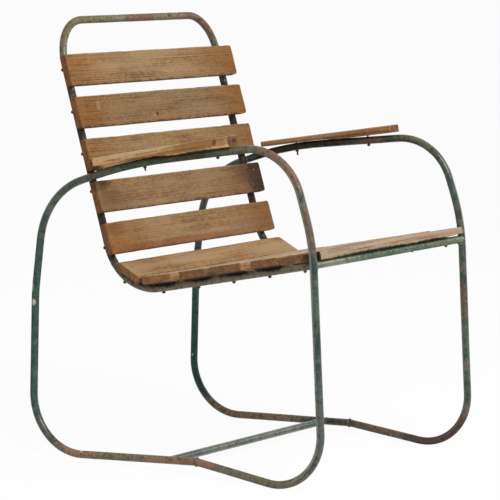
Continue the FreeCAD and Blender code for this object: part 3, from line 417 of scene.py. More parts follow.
def wear_board(bm, size, wear, seed):
    """Round off, hollow and nibble the surface of a board."""
    half = size / 2
    shift = Vector((0, 0, seed * 7.3))
    for vertex in bm.verts:
        spot = vertex.co.copy()
        ripple = noise.noise(Vector((spot.x * 9, spot.y * 160, spot.z * 40)) + shift)
        nibble = noise.noise(Vector((spot.x * 34, spot.y * 20, spot.z * 60)) + shift)
        slow = noise.noise(Vector((spot.x * 8, spot.y * 30, spot.z * 30)) + shift)
        edge = max(0.0, 1 - (half.y - abs(spot.y)) / (4 * MM))
        end = max(0.0, 1 - (half.x - abs(spot.x)) / (3 * MM))
        loss = wear * (max(0.0, nibble + 0.1) * 0.8 + max(0.0, slow) * 0.8)
        loss *= 1.0 if spot.z > 0 else 0.4
        vertex.co.z -= math.copysign(0.2 * MM * (ripple + 1) / 2, spot.z)
        if edge:
            vertex.co.y -= math.copysign(loss * edge * 0.7, spot.y)
            vertex.co.z -= math.copysign(loss * edge * 0.5, spot.z)
        if end:
            vertex.co.x -= math.copysign(loss * end * 0.5, spot.x)
            vertex.co.z -= math.copysign(loss * end * 0.4, spot.z)


def smooth(value, low, high):
    """Rise smoothly from 0 to 1 between two limits."""
    share = min(1.0, max(0.0, (value - low) / (high - low)))
    return share * share * (3 - 2 * share)


def sag_board(spot):
    """Let a seat board hang a little between the rails, and bed it on the tubes."""
    if abs(spot.x) < RAIL_REACH:
        spot.z -= 1.5 * MM * math.cos(math.pi * spot.x / (2 * RAIL_REACH))
    if spot.z < 0:
        spot.z -= 2.6 * MM * smooth(abs(spot.x), 0.271, 0.264)
        spot.z += 2.5 * MM * smooth(abs(spot.x), 0.272, 0.28)


def warp_front(spot):
    """Hump the front board, and split off its far end underneath."""
    if spot.z > 0:
        spot.z += 2.6 * MM * smooth(spot.x, -0.2, -0.05) * (1 - 0.8 * smooth(spot.x, 0.0, 0.26))
    else:
        spot.z += 3.0 * MM * smooth(spot.x, 0.19, 0.26)
        spot.z += 1.2 * MM * max(0.0, noise.noise(Vector((spot.x * 26, 3.0, 8.0))))


def thicken_front(spot):
    """Make an armrest thicker toward its front end."""
    if spot.z < 0:
        spot.z -= 4.4 * MM * smooth(spot.x, -0.04, 0.06)


def build_board(plank, wood, wear, seed, bolts, splits=(), warp=None):
    """Model one worn board with its sunk bolt holes, in the place of its solid."""
    bm = bmesh.new()
    bmesh.ops.create_cube(bm, size=1.0)
    bmesh.ops.scale(bm, vec=plank.size, verts=bm.verts)
    upright = [edge for edge in bm.edges if abs(edge.verts[0].co.z - edge.verts[1].co.z) > 1e-6]
    bmesh.ops.bevel(bm, geom=upright, offset=wood.corner, offset_type="OFFSET", affect="EDGES",
                    segments=3, profile=0.5, material=-1)
    rims = [edge for edge in bm.edges if edge.calc_face_angle() > 0.9]
    bmesh.ops.bevel(bm, geom=rims, offset=wood.arris, offset_type="OFFSET", affect="EDGES",
                    segments=3, profile=0.5, material=-1)
    slice_board(bm, plank.size, wood.step)
    for split in splits:
        open_split(bm, plank.size, split)
    wear_board(bm, plank.size, wear, seed)
    sink_heads(bm, plank, bolts)
    if warp:
        for vertex in bm.verts:
            warp(vertex.co)
    bmesh.ops.transform(bm, matrix=plank.to_world(), verts=bm.verts)
    bmesh.ops.recalc_face_normals(bm, faces=bm.faces)
    mesh = bpy.data.meshes.new(plank.name + "_worn")
    bm.to_mesh(mesh)
    bm.free()
    for face in mesh.polygons:
        face.use_smooth = True
    mesh.set_sharp_from_angle(angle=SHARP_ANGLE)
    piece = bpy.data.objects.new(plank.name + "_worn", mesh)
    bpy.context.scene.collection.objects.link(piece)
    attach(piece, BODY)
    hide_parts(plank.name)
    return piece


def sink_heads(bm, plank, bolts):
    """Press a round seat into the board under each bolt head."""
    def top_faces(head, reach):
        """Find the faces of the board's top about a head."""
        found = []
        for face in bm.faces:
            middle = face.calc_center_median()
            if face.normal.z > 0.6 and middle.z > 0 and (middle.xy - head.xy).length < reach:
                found.append(face)
        return found

    for head in plank.heads(bolts):
        for index in range(HEAD_SIDES):
            angle = math.tau * index / HEAD_SIDES
            outward = Vector((math.cos(angle), math.sin(angle), 0))
            region = top_faces(head, 4 * HEAD_RADIUS)
            geometry = list({vert for face in region for vert in face.verts})
            geometry += list({edge for face in region for edge in face.edges})
            bmesh.ops.bisect_plane(bm, geom=geometry + region, dist=1e-7,
                                   plane_co=head + outward * HEAD_RADIUS, plane_no=outward)
        inside = top_faces(head, HEAD_RADIUS * 0.98)
        if not inside:
            raise RuntimeError("no seat was found for a bolt head in " + plank.name)
        raised = bmesh.ops.extrude_face_region(bm, geom=inside)
        floor = [item for item in raised["geom"] if isinstance(item, bmesh.types.BMVert)]
        bmesh.ops.delete(bm, geom=inside, context="FACES_ONLY")
        bmesh.ops.translate(bm, vec=(0, 0, -HEAD_DEPTH), verts=floor)


# A look says how one board has weathered, with some painted shade and highlight. Tone and end lighten or
# darken the board and its sawn ends, and figure strengthens the grain. Bleach, warm, far, edge, top,
# grey, rub, specks and sheen are shares of their effects, where edge is painted shade along the lower
# long edge and top a painted highlight on the top. The deep shade line says how low the painted shade
# under the ends begins, and crown, where given, replaces the top highlight with the board's own top
# colour. Marks are ragged stains, painted shade
# and painted highlights: centre, reach, colour and share. Wear, trim, widen, warp and splits change the
# shape.

def wood_material(plank, wood, seed, look):
    """Weathered wood whose grain runs along one board."""
    material, shader, surface, place = new_material(plank.name + "_wood")

    def facing(direction):
        return shader.vector("DOT_PRODUCT", place["Normal"], direction)

    tone = look.get("tone", 1.0)
    spot = shader.add("ShaderNodeMapping", {
        "Vector": place["Object"], "Location": -plank.middle, "Rotation": plank.turn.to_euler(),
    }).outputs["Vector"]
    shift = [seed * step for step in SEED_STEP]
    drifted = shader.vector("ADD", spot, shift)
    sway = noise.noise(Vector((seed * 1.7, 0.5, 0.5)))
    pith = (shift[0] + 0.9 * sway, shift[1] + math.copysign(0.06, sway) + 0.03 * sway, shift[2] - 0.035)
    grain = shader.group("Board grain", {"Vector": drifted, "Pith": pith, "Ring width": RING_WIDTH,
                                         "Wander": RING_WANDER})
    dark = shader.times(grain["Rings"], 0.44)
    dark = shader.plus(dark, shader.ease(grain["Streaks"], 0.34, 0.68, 0.0, 0.36))
    dark = shader.plus(dark, shader.ease(grain["Fibres"], 0.3, 0.7, -0.34, 0.34))
    dark = shader.plus(dark, shader.ease(grain["Bands"], 0.3, 0.7, 0.14, -0.12))
    mottle = shader.cloud(shader.vector("MULTIPLY", drifted, (90.0, 170.0, 170.0)), 1.0, 5.0, 0.7)
    smudge = shader.cloud(shader.vector("MULTIPLY", drifted, (11.0, 30.0, 30.0)), 1.0, 3.0, 0.6)
    dark = shader.times(dark, look.get("figure", 1.0))
    dark = shader.plus(dark, shader.ease(smudge, 0.3, 0.7, -0.2, 0.26))
    dark = shader.plus(dark, shader.ease(mottle, 0.3, 0.7, -0.34, 0.34))
    body = shader.blend(dark, scaled(wood.early, tone), scaled(wood.late, tone))
    long = shader.vector("MULTIPLY", drifted, (4.0, 42.0, 42.0))
    paled = shader.ease(shader.cloud(long, 1.0, 1.0), 0.32, 0.68, 0.0, look.get("bleach", 0.5))
    body = shader.blend(paled, body, scaled(wood.weathered, tone))

    # Warm strips toward the ends, and painted shade along the lower long edge
    parts = shader.add("ShaderNodeSeparateXYZ", {"Vector": spot}).outputs
    half = plank.size / 2
    reach = shader.maths("ABSOLUTE", parts["X"])
    ragged = shader.times(shader.maths("SUBTRACT", grain["Bands"], 0.5), 0.12)
    warm = shader.ease(shader.plus(reach, ragged), half.x - 0.16, half.x, 0.0, look.get("warm", 0.8))
    glow = shader.blend(dark, scaled(wood.warm, 1.2 * tone), scaled(wood.warm, 0.6 * tone))
    body = shader.blend(warm, body, glow)
    body = shader.blend(shader.ease(parts["X"], 0.04, half.x, 0.0, look.get("far", 0.0)), body, wood.late)
    lower_edge_shade = shader.ease(shader.times(parts["Y"], -1.0), half.y - 5 * MM, half.y - MM, 0.0,
                           look.get("edge", 0.6))
    body = shader.blend(lower_edge_shade, body, wood.shade)

    # Sawn ends, found by the way the surface faces
    sawn = shader.ease(shader.maths("ABSOLUTE", facing(plank.turn[0])), 0.45, 0.8, 0.0, 0.9)
    across = shader.vector("MULTIPLY", drifted, (40.0, 90.0, 160.0))
    saw = shader.plus(shader.times(grain["Rings"], 0.14), shader.cloud(across, 1.0, 5.0, 0.7))
    end = scaled(wood.end, look.get("end", 1.0))
    end_shade = shader.blend(shader.ease(saw, 0.36, 0.72), scaled(end, 1.25), scaled(end, 0.55))
    body = shader.blend(sawn, body, end_shade)

    # Painted shade under the ends and undersides, and a painted highlight on the tops
    if "damp" in look:
        line = -half.z * look["damp"]
        under = shader.ease(parts["Z"], line, line - 2.5 * MM, 0.0, 0.95)
        hidden = shader.maths("MAXIMUM", sawn, shader.ease(facing(-plank.turn[2]), 0.3, 0.7))
        body = shader.blend(shader.times(under, hidden), body, wood.deep_shade)
    # Up-facing faces take a painted highlight; a crown colour, where given, replaces it with the board's
    # own top colour
    if "top" in look:
        above = shader.ease(facing(plank.turn[2]), 0.5, 0.95, 0.0, look["top"])
        crown = look.get("crown", wood.rubbed)
        body = shader.blend(above, body, shader.blend(dark, crown, scaled(crown, 0.45)))
    if "grey" in look:
        greyed = shader.ease(grain["Streaks"], 0.3, 0.7, 1.3 * look["grey"], 0.5 * look["grey"])
        greyed = shader.times(greyed, shader.maths("SUBTRACT", 1.0, sawn))
        body = shader.blend(greyed, body, wood.grey)

    # Rubbed top edges and local marks
    side = shader.ease(shader.maths("ABSOLUTE", parts["Y"]), half.y - 4 * MM, half.y - 0.5 * MM)
    upper = shader.ease(parts["Z"], half.z - 4 * MM, half.z - MM)
    share = look.get("rub", 0.5)
    rub = shader.times(shader.times(side, upper), shader.patches(drifted, 20 * MM, share, 0.08))
    body = shader.blend(shader.times(rub, share), body, scaled(wood.weathered, 1.25))
    specks = shader.patches(drifted, 4 * MM, look.get("specks", 0.06), 0.02)
    body = shader.blend(shader.times(specks, 0.4), body, tint(196, 172, 138))
    dirt = shader.patches(drifted, 6 * MM, 0.2, 0.06)
    body = shader.blend(shader.times(dirt, 0.35), body, wood.shade)
    for centre, size, shade, weight in look.get("marks", ()):
        mask = shader.spot(spot, centre, size, 1.1)
        body = shader.blend(shader.times(mask, weight), body, shade)

    shader.feed(surface.inputs["Base Color"], body)
    shader.feed(surface.inputs["Roughness"], shader.ease(grain["Streaks"], 0.3, 0.7, 0.66, 0.88))
    surface.inputs["Specular IOR Level"].default_value = 0.14
    surface.inputs["Sheen Weight"].default_value = look.get("sheen", 0.0)
    height = shader.plus(shader.times(grain["Fibres"], 0.5), shader.times(grain["Rings"], -0.4))
    height = shader.plus(height, shader.times(grain["Streaks"], 0.8))
    add_bump(shader, surface, height, 0.4 * MM, 0.9)
    return material


def finish_board(context, name, bolts, seed, look):
    """Build a board and give it its own wood."""
    wood = context.scene.armchair_wood
    plank = Plank(name)
    rear, front = look.get("trim", (0.0, 0.0))
    plank.size.x -= rear + front
    plank.middle.x += (rear - front) / 2
    plank.size.y += look.get("widen", 0.0)
    plank.middle.y += look.get("widen", 0.0) / 2
    wear = wood.wear * look.get("wear", 1.0)
    piece = build_board(plank, wood, wear, seed, bolts, look.get("splits", ()), look.get("warp"))
    piece.data.materials.append(wood_material(plank, wood, seed, look))


class ARMCHAIR_OT_back_slats(bpy.types.Operator):
    """Build the five boards of the back"""
    bl_idname = "armchair.back_slats"
    bl_label = "Back slats"

    def execute(self, context):
        wood = context.scene.armchair_wood
        front = 7.5 * MM
        looks = {
            "back_slat_1": {"tone": 0.88, "figure": 0.8, "far": 0.3, "bleach": 0.6, "edge": 0.6},
            "back_slat_2": {"tone": 0.7, "bleach": 0.4, "figure": 0.62, "marks": [
                ((-0.219, 0.010, front), (0.009, 0.012, 0.02), tint(160, 126, 86), 0.4),
                ((-0.040, -0.018, front), (0.007, 0.004, 0.01), tint(164, 134, 98), 0.4),
                ((-0.031, -0.016, front), (0.005, 0.006, 0.01), wood.knot, 0.95)]},
            "back_slat_3": {"tone": 0.84, "far": 0.3, "figure": 0.7, "bleach": 0.4, "warm": 0.6},
            "back_slat_4": {"tone": 0.82, "figure": 0.65, "far": 0.65, "bleach": 0.45, "specks": 0.16,
                            "warm": 0.35, "marks": [
                ((0.276, 0.004, front), (0.06, 0.06, 0.04), wood.stain, 1.0),
                ((0.24, 0.014, front), (0.06, 0.04, 0.03), wood.shade, 0.5),
                ((-0.275, 0.024, front), (0.04, 0.016, 0.02), wood.stain, 0.45),
                ((-0.24, -0.006, front), (0.06, 0.02, 0.02), wood.shade, 0.2)]},
            "back_slat_5": {"tone": 0.94, "figure": 0.65, "far": 0.5, "bleach": 0.5, "warm": 0.75,
                            "marks": [
                ((-0.05, -0.026, front), (0.3, 0.012, 0.02), tint(126, 74, 46), 0.6),
                ((-0.26, 0.016, front), (0.04, 0.018, 0.02), tint(104, 70, 44), 0.45),
                ((0.02, -0.006, front), (0.05, 0.014, 0.02), tint(118, 80, 50), 0.3)]},
        }
        looks["back_slat_2"]["splits"] = [(1, 0.011, 0.05, 0.8 * MM)]
        looks["back_slat_4"]["splits"] = [(1, -0.010, 0.06, MM)]
        for index, name in enumerate(BACK_SLATS):
            finish_board(context, name, "back_slat_bolts", 3 + index * 2, looks[name])
        return {"FINISHED"}


class ARMCHAIR_OT_seat_slats(bpy.types.Operator):
    """Build the rear board and the four boards of the seat"""
    bl_idname = "armchair.seat_slats"
    bl_label = "Seat slats"

    def execute(self, context):
        looks = {
            "rear_seat_slat": {"tone": 1.04, "figure": 0.7, "bleach": 0.95, "warm": 0.1, "edge": 0.7,
                               "end": 1.15},
            "seat_slat_1": {"tone": 1.2, "edge": 0.0, "end": 1.4, "widen": 5 * MM},
            "seat_slat_2": {"tone": 0.8, "edge": 0.5, "end": 1.2},
            "seat_slat_3": {"tone": 1.3, "edge": 0.0, "end": 1.1},
            "seat_slat_4": {"tone": 0.8, "edge": 0.4, "end": 1.2},
        }
        for index, name in enumerate(SEAT_SLATS):
            look = looks[name]
            if index:
                # Seat boards get painted shade under their ends and a painted highlight on their tops
                look.update(bleach=0.6, warm=0.2, wear=2.2, warp=sag_board, sheen=0.06, top=0.9,
                            damp=0.55)
            bolts = "seat_slat_bolts" if index else "rear_slat_bolts"
            finish_board(context, name, bolts, 21 + index * 3, look)
        return {"FINISHED"}


class ARMCHAIR_OT_front_slat(bpy.types.Operator):
    """Build the worn board at the front of the seat"""
    bl_idname = "armchair.front_slat"
    bl_label = "Front slat"

    def execute(self, context):
        wood = context.scene.armchair_wood
        look = {"tone": 1.0, "figure": 1.5, "grey": 0.7, "bleach": 0.8, "warm": 0.1, "edge": 0.0,
                "wear": 2.4, "warp": warp_front, "rub": 0.5, "top": 0.85, "crown": tint(150, 132, 106),
                "specks": 0.12, "end": 1.25,
                "splits": [(-1, 0.008, 0.12, 1.5 * MM), (1, -0.012, 0.09, MM)],
                # The first three marks are painted shade: at the near end beside the leg and along the
                # bottom of the front face
                "marks": [((-0.2695, -0.033, -0.002), (0.004, 0.05, 0.03), wood.deep_shade, 1.0),
                          ((-0.06, -0.032, -0.0085), (0.24, 0.01, 0.006), wood.deep_shade, 1.0),
                          ((0.14, -0.032, -0.0085), (0.1, 0.01, 0.006), wood.deep_shade, 1.0),
                          ((-0.1, -0.033, 0.0), (0.05, 0.01, 0.004), tint(130, 100, 76), 0.5),
                          ((-0.2, -0.033, 0.004), (0.08, 0.01, 0.003), tint(120, 92, 68), 0.6),
                          ((0.02, -0.033, 0.002), (0.09, 0.01, 0.0012), wood.shade, 0.7),
                          ((-0.12, -0.033, 0.0005), (0.06, 0.01, 0.001), wood.shade, 0.8),
                          ((0.12, -0.033, -0.0005), (0.07, 0.01, 0.0012), wood.shade, 0.8),
                          ((0.0, -0.033, 0.0), (0.02, 0.01, 0.003), tint(150, 96, 68), 0.7),
                          ((0.05, -0.033, -0.002), (0.018, 0.01, 0.003), tint(150, 100, 74), 0.6),
                          ((0.2, -0.033, 0.0), (0.1, 0.01, 0.006), tint(150, 114, 86), 0.4),
                          ((0.09, -0.033, 0.003), (0.07, 0.01, 0.004), tint(140, 104, 80), 0.5)]}
        finish_board(context, "front_seat_slat", "front_slat_bolts", 41, look)
        return {"FINISHED"}


class ARMCHAIR_OT_armrests(bpy.types.Operator):
    """Build the two armrest boards"""
    bl_idname = "armchair.armrests"
    bl_label = "Armrests"

    def execute(self, context):
        wood = context.scene.armchair_wood
        outside = -16 * MM
        # On the right armrest the top share and the pale line at the top of the outer face are painted
        # highlights; the darker band and the two darkest lines along its lower part are painted shade
        right = {"tone": 2.15, "bleach": 0.9, "top": 0.9, "warm": 0.1, "edge": 0.0, "rub": 0.9,
                 "wear": 1.0, "specks": 0.2, "warp": thicken_front, "trim": (0.0, 0.019), "end": 0.5,
                 "splits": [(-1, 0.004, 0.08, 1.2 * MM)],
                 "marks": [((0.128, outside, 0.0), (0.006, 0.01, 0.007), wood.knot, 1.0),
                           ((0.0, outside, 0.0078), (0.21, 0.006, 0.0028), tint(222, 192, 146), 0.75),
                           ((0.02, outside, -0.006), (0.16, 0.01, 0.005), tint(150, 104, 66), 0.6),
                           ((-0.05, outside, -0.0098), (0.085, 0.01, 0.004), wood.deep_shade, 0.95),
                           ((0.075, outside, -0.0138), (0.1, 0.01, 0.005), wood.deep_shade, 0.95),
                           ((0.1625, 0.002, -0.002), (0.006, 0.013, 0.007), wood.knot, 0.9),
                           ((0.16, -0.014, -0.002), (0.006, 0.006, 0.014), wood.shade, 0.8),
                           ((-0.11, outside, -0.002), (0.03, 0.01, 0.002), wood.shade, 0.6),
                           ((0.09, outside, 0.002), (0.1, 0.01, 0.01), wood.warm, 0.7),
                           ((-0.03, outside, 0.001), (0.05, 0.01, 0.0015), wood.shade, 0.5)]}
        left = {"tone": 1.12, "bleach": 0.4, "warm": 0.4, "edge": 0.0, "rub": 0.9, "wear": 0.8,
                "trim": (-0.004, -0.004), "warp": thicken_front, "end": 0.8,
                "marks": [((0.06, outside, -0.004), (0.12, 0.01, 0.003), wood.shade, 0.6)]}
        finish_board(context, "right_armrest", "armrest_bolts", 51, right)
        finish_board(context, "left_armrest", "armrest_bolts", 55, left)
        return {"FINISHED"}


# Tubes, welds and fasteners

def paint_material(name, paint, fade, worn, rusty, pitted, highlight_streak, zones=()):
    """Old paint worn to its undercoat, with rust coming through."""
    material, shader, surface, place = new_material(name)
    spot = place["Object"]

    def patches(size, cover, softness):
        return shader.patches(spot, size, cover, softness)

    # Green and faded paint, thin over the tops and where it is worn
    body = shader.blend(patches(45 * MM, fade, 0.11), paint.green, paint.faded)
    facing = shader.add("ShaderNodeSeparateXYZ", {"Vector": place["Normal"]}).outputs["Z"]
    upward = shader.ease(facing, 0.2, 0.95, 0.0, 0.4)
    thin = shader.times(upward, patches(30 * MM, 0.5, 0.12))
    thin = shader.maths("MAXIMUM", thin, shader.times(patches(40 * MM, worn, 0.12), 0.75))
    body = shader.blend(thin, body, paint.olive)

    # Rust, and the patches of this one tube
    rust = shader.times(patches(22 * MM, rusty, 0.08), 0.8)
    body = shader.blend(rust, body, paint.rust)
    speckle = shader.ease(patches(11 * MM, 0.6, 0.2), 0.0, 1.0, 0.45, 1.0)
    for centre, reach, shade, weight in zones:
        mask = shader.times(shader.times(shader.spot(spot, centre, reach, 1.2), speckle), weight)
        body = shader.blend(mask, body, shade)
        rust = shader.maths("MAXIMUM", rust, mask)

    # Grime, pits, a painted highlight streak on the front legs, dust and chips
    grime = shader.times(patches(7 * MM, 0.36, 0.07), shader.ease(rust, 0.0, 1.0, 0.5, 0.7))
    body = shader.blend(grime, body, shader.blend(rust, tint(22, 38, 33), paint.dark_rust_and_shade))
    pits = shader.times(patches(6 * MM, pitted, 0.025), 0.8)
    body = shader.blend(pits, body, tint(34, 30, 24))
    # Painted highlight: a pale streak along one side of the front legs, toward the front
    outward = shader.vector("DOT_PRODUCT", place["Normal"], HIGHLIGHT_SIDE)
    paled = shader.ease(outward, 0.84, 0.97, 0.0, highlight_streak)
    front = shader.add("ShaderNodeSeparateXYZ", {"Vector": spot}).outputs["Y"]
    paled = shader.times(paled, shader.ease(front, 0.1, -0.2))
    paled = shader.times(paled, shader.ease(patches(50 * MM, 0.6, 0.15), 0.0, 1.0, 0.3, 1.0))
    body = shader.blend(paled, body, tint(150, 154, 140))
    dust = shader.times(patches(9 * MM, 0.26, 0.06), 0.26)
    body = shader.blend(dust, body, tint(134, 134, 118))
    chips = shader.times(patches(11 * MM, 0.07, 0.012), 0.85)
    body = shader.blend(chips, body, paint.chip)

    shader.feed(surface.inputs["Base Color"], body)
    shader.feed(surface.inputs["Roughness"], shader.ease(rust, 0.0, 1.0, 0.3, 0.7))
    surface.inputs["Specular IOR Level"].default_value = 0.2
    dull = shader.plus(rust, grime)
    shader.feed(surface.inputs["Coat Weight"], shader.ease(dull, 0.0, 0.9, 0.6, 0.04))
    surface.inputs["Coat Roughness"].default_value = 0.1
    height = shader.plus(shader.times(grime, -0.6), shader.times(rust, -0.5))
    height = shader.plus(height, shader.times(shader.cloud(spot, 420.0, 4.0), 0.4))
    add_bump(shader, surface, height, 0.35 * MM, 0.8)
    return material


def dress(name, material):
    """Give a solid of the frame its finish."""
    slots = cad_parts[name].data.materials
    slots.clear()
    slots.append(material)


class ARMCHAIR_OT_tubes(bpy.types.Operator):
    """Paint the tubes and let rust through where it shows"""
    bl_idname = "armchair.tubes"
    bl_label = "Tubes"

    def execute(self, context):
        paint = context.scene.armchair_paint
        side = cad_high.x - 0.016
        rust = paint.rust
        dark = paint.dark_rust_and_shade
        olive = paint.olive
        faded = paint.faded
        # Patches on each tube: centre, reach, colour and share
        zones = {
            "right_side_hoop": [
                ((-side, 0.335, 0.26), (0.05, 0.06, 0.26), tint(56, 86, 77), 0.95),
                ((-side, -0.235, 0.605), (0.05, 0.085, 0.09), rust, 0.85),
                ((-side, -0.295, 0.5), (0.05, 0.04, 0.07), tint(112, 92, 76), 0.8),
                ((-side, -0.33, 0.14), (0.05, 0.03, 0.12), tint(96, 102, 96), 0.6),
                ((-side, -0.22, 0.02), (0.05, 0.12, 0.05), tint(126, 114, 92), 0.8),
                ((-side, -0.055, 0.03), (0.05, 0.08, 0.05), tint(150, 110, 88), 0.95),
                ((-side, 0.15, 0.014), (0.05, 0.17, 0.04), tint(134, 124, 102), 1.1),
                ((-side, 0.215, 0.018), (0.05, 0.055, 0.03), tint(158, 120, 98), 1.1),
                ((-side, 0.02, 0.024), (0.05, 0.05, 0.04), tint(154, 118, 98), 0.9),
                ((-side, 0.18, 0.565), (0.05, 0.08, 0.04), olive, 0.6),
                ((-side, -0.13, 0.625), (0.05, 0.05, 0.03), olive, 0.7),
                ((-side, 0.04, 0.6), (0.05, 0.22, 0.05), tint(66, 82, 58), 0.9),
                ((-side, 0.02, 0.612), (0.05, 0.13, 0.02), dark, 0.7),
                ((-side - 0.007, 0.336, 0.327), (0.012, 0.006, 0.012), paint.chip, 2.0),
                ((-side - 0.007, 0.331, 0.297), (0.012, 0.005, 0.008), paint.chip, 2.0),
                ((-side - 0.006, 0.213, 0.018), (0.012, 0.006, 0.006), paint.chip, 2.0),
            ],
            "left_side_hoop": [
                ((side, 0.32, 0.2), (0.05, 0.09, 0.24), tint(48, 84, 77), 1.1),
                ((side, -0.02, 0.02), (0.05, 0.12, 0.05), dark, 0.5),
                ((side, 0.18, 0.014), (0.05, 0.17, 0.05), tint(152, 130, 106), 1.1),
                ((side, -0.322, 0.30), (0.05, 0.02, 0.05), tint(96, 70, 62), 0.6),
                ((side, 0.06, 0.578), (0.05, 0.14, 0.05), dark, 0.85),
                ((side, -0.10, 0.605), (0.05, 0.04, 0.03), rust, 0.7),
                ((side, -0.2, 0.61), (0.05, 0.06, 0.04), olive, 0.6),
                ((side, -0.27, 0.03), (0.05, 0.12, 0.08), tint(78, 60, 52), 1.2),
                ((side, -0.13, 0.03), (0.05, 0.08, 0.04), tint(112, 88, 72), 0.9),
            ],
            "back_seat_frame": [
                ((0, 0.19, 0.57), (0.6, 0.2, 0.34), dark, 1.5),
                ((-0.16, 0.29, 0.83), (0.14, 0.06, 0.06), tint(112, 104, 74), 1.4),
                ((0.02, 0.29, 0.847), (0.09, 0.05, 0.03), tint(116, 82, 66), 1.1),
                ((0.1, 0.29, 0.847), (0.06, 0.05, 0.03), tint(112, 110, 72), 0.9),
                ((0.2, 0.29, 0.84), (0.1, 0.05, 0.04), tint(116, 82, 66), 0.8),
                ((0, -0.06, 0.372), (0.5, 0.24, 0.07), tint(130, 114, 94), 1.1),
            ],
            "front_seat_rail": [
                ((0.02, -0.31, 0.43), (0.26, 0.05, 0.05), tint(58, 88, 68), 0.8),
                ((0.2, -0.31, 0.43), (0.09, 0.05, 0.05), tint(98, 104, 78), 0.8),
            ],
            "floor_stretcher": [
                ((0.25, -0.03, 0.02), (0.12, 0.05, 0.05), faded, 0.5),
            ],
        }
        # Shares of faded paint, undercoat, rust, pits and the painted highlight streak
        wear = {"right_side_hoop": (0.4, 0.34, 0.22, 0.13, 0.7),
                "left_side_hoop": (0.36, 0.34, 0.2, 0.14, 0.2),
                "back_seat_frame": (0.3, 0.8, 0.4, 0.3, 0.2),
                "front_seat_rail": (0.5, 0.6, 0.14, 0.2, 0.0),
                "floor_stretcher": (0.6, 0.46, 0.2, 0.2, 0.0)}
        # Painted shade on the seat rails under the ends of each seat board
        for name in SEAT_SLATS[1:]:
            low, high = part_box(name)
            middle = (low + high) / 2
            for end in (-1, 1):
                under = (end * 0.2665, middle.y, middle.z - 5 * MM)
                zones["back_seat_frame"].append((under, (0.016, 0.037, 0.014), dark, 2.0))
        for name in TUBES:
            dress(name, paint_material(name + "_paint", paint, *wear[name], zones[name]))
        weld = paint_material("weld_paint", paint, 0.5, 0.5, 0.5, 0.3, 0.0)
        for name in ("arm_welds", "seam_welds", "stretcher_welds", "side_rail_welds"):
            dress(name, weld)
        return {"FINISHED"}


def metal_material(name, base, dark, metallic):
    """Corroded metal with lumps and pits."""
    material, shader, surface, place = new_material(name)
    spot = place["Object"]
    patch = shader.patches(spot, 4 * MM, 0.5, 0.12)
    shader.feed(surface.inputs["Base Color"], shader.blend(patch, base, dark))
    shader.feed(surface.inputs["Roughness"], shader.ease(patch, 0.0, 1.0, 0.55, 0.85))
    surface.inputs["Metallic"].default_value = metallic
    add_bump(shader, surface, shader.cloud(spot, 900.0, 4.0), 0.3 * MM)
    return material


class ARMCHAIR_OT_fasteners(bpy.types.Operator):
    """Rust the bolts and nuts, and tint the brazed joints"""
    bl_idname = "armchair.fasteners"
    bl_label = "Fasteners"

    def execute(self, context):
        paint = context.scene.armchair_paint
        rusty = metal_material("bolt_rust", paint.bolt, paint.dark_rust_and_shade, 0.2)
        brown = metal_material("head_rust", paint.head, scaled(paint.head, 0.7), 0.0)
        painted = bpy.data.materials["front_seat_rail_paint"]
        for kind in ("back_slat", "rear_slat", "seat_slat", "front_slat", "armrest"):
            dress(kind + "_bolts", rusty if kind == "armrest" else brown)
            dress(kind + "_nuts", painted if kind == "front_slat" else rusty)
        dress("front_rail_welds", metal_material("braze_metal", paint.braze, paint.faded, 0.3))
        return {"FINISHED"}


# Stage

def add_lamp(name, place, target, size, power, shade):
    """Hang a soft square lamp that faces a point."""
    lamp = bpy.data.lights.new(name, "AREA")
    lamp.energy = power
    lamp.size = size
    lamp.color = shade
    holder = bpy.data.objects.new(name, lamp)
    holder.location = place
    holder.rotation_mode = "QUATERNION"
    holder.rotation_quaternion = (Vector(target) - Vector(place)).to_track_quat("-Z", "Y")
    bpy.context.scene.collection.objects.link(holder)


def seen_directly(shader):
    """Tell whether a ray is one that shows the background."""
    path = shader.add("ShaderNodeLightPath").outputs
    shown = shader.maths("MAXIMUM", path["Is Camera Ray"], path["Is Glossy Ray"])
    return shader.maths("MAXIMUM", shown, path["Is Transmission Ray"])


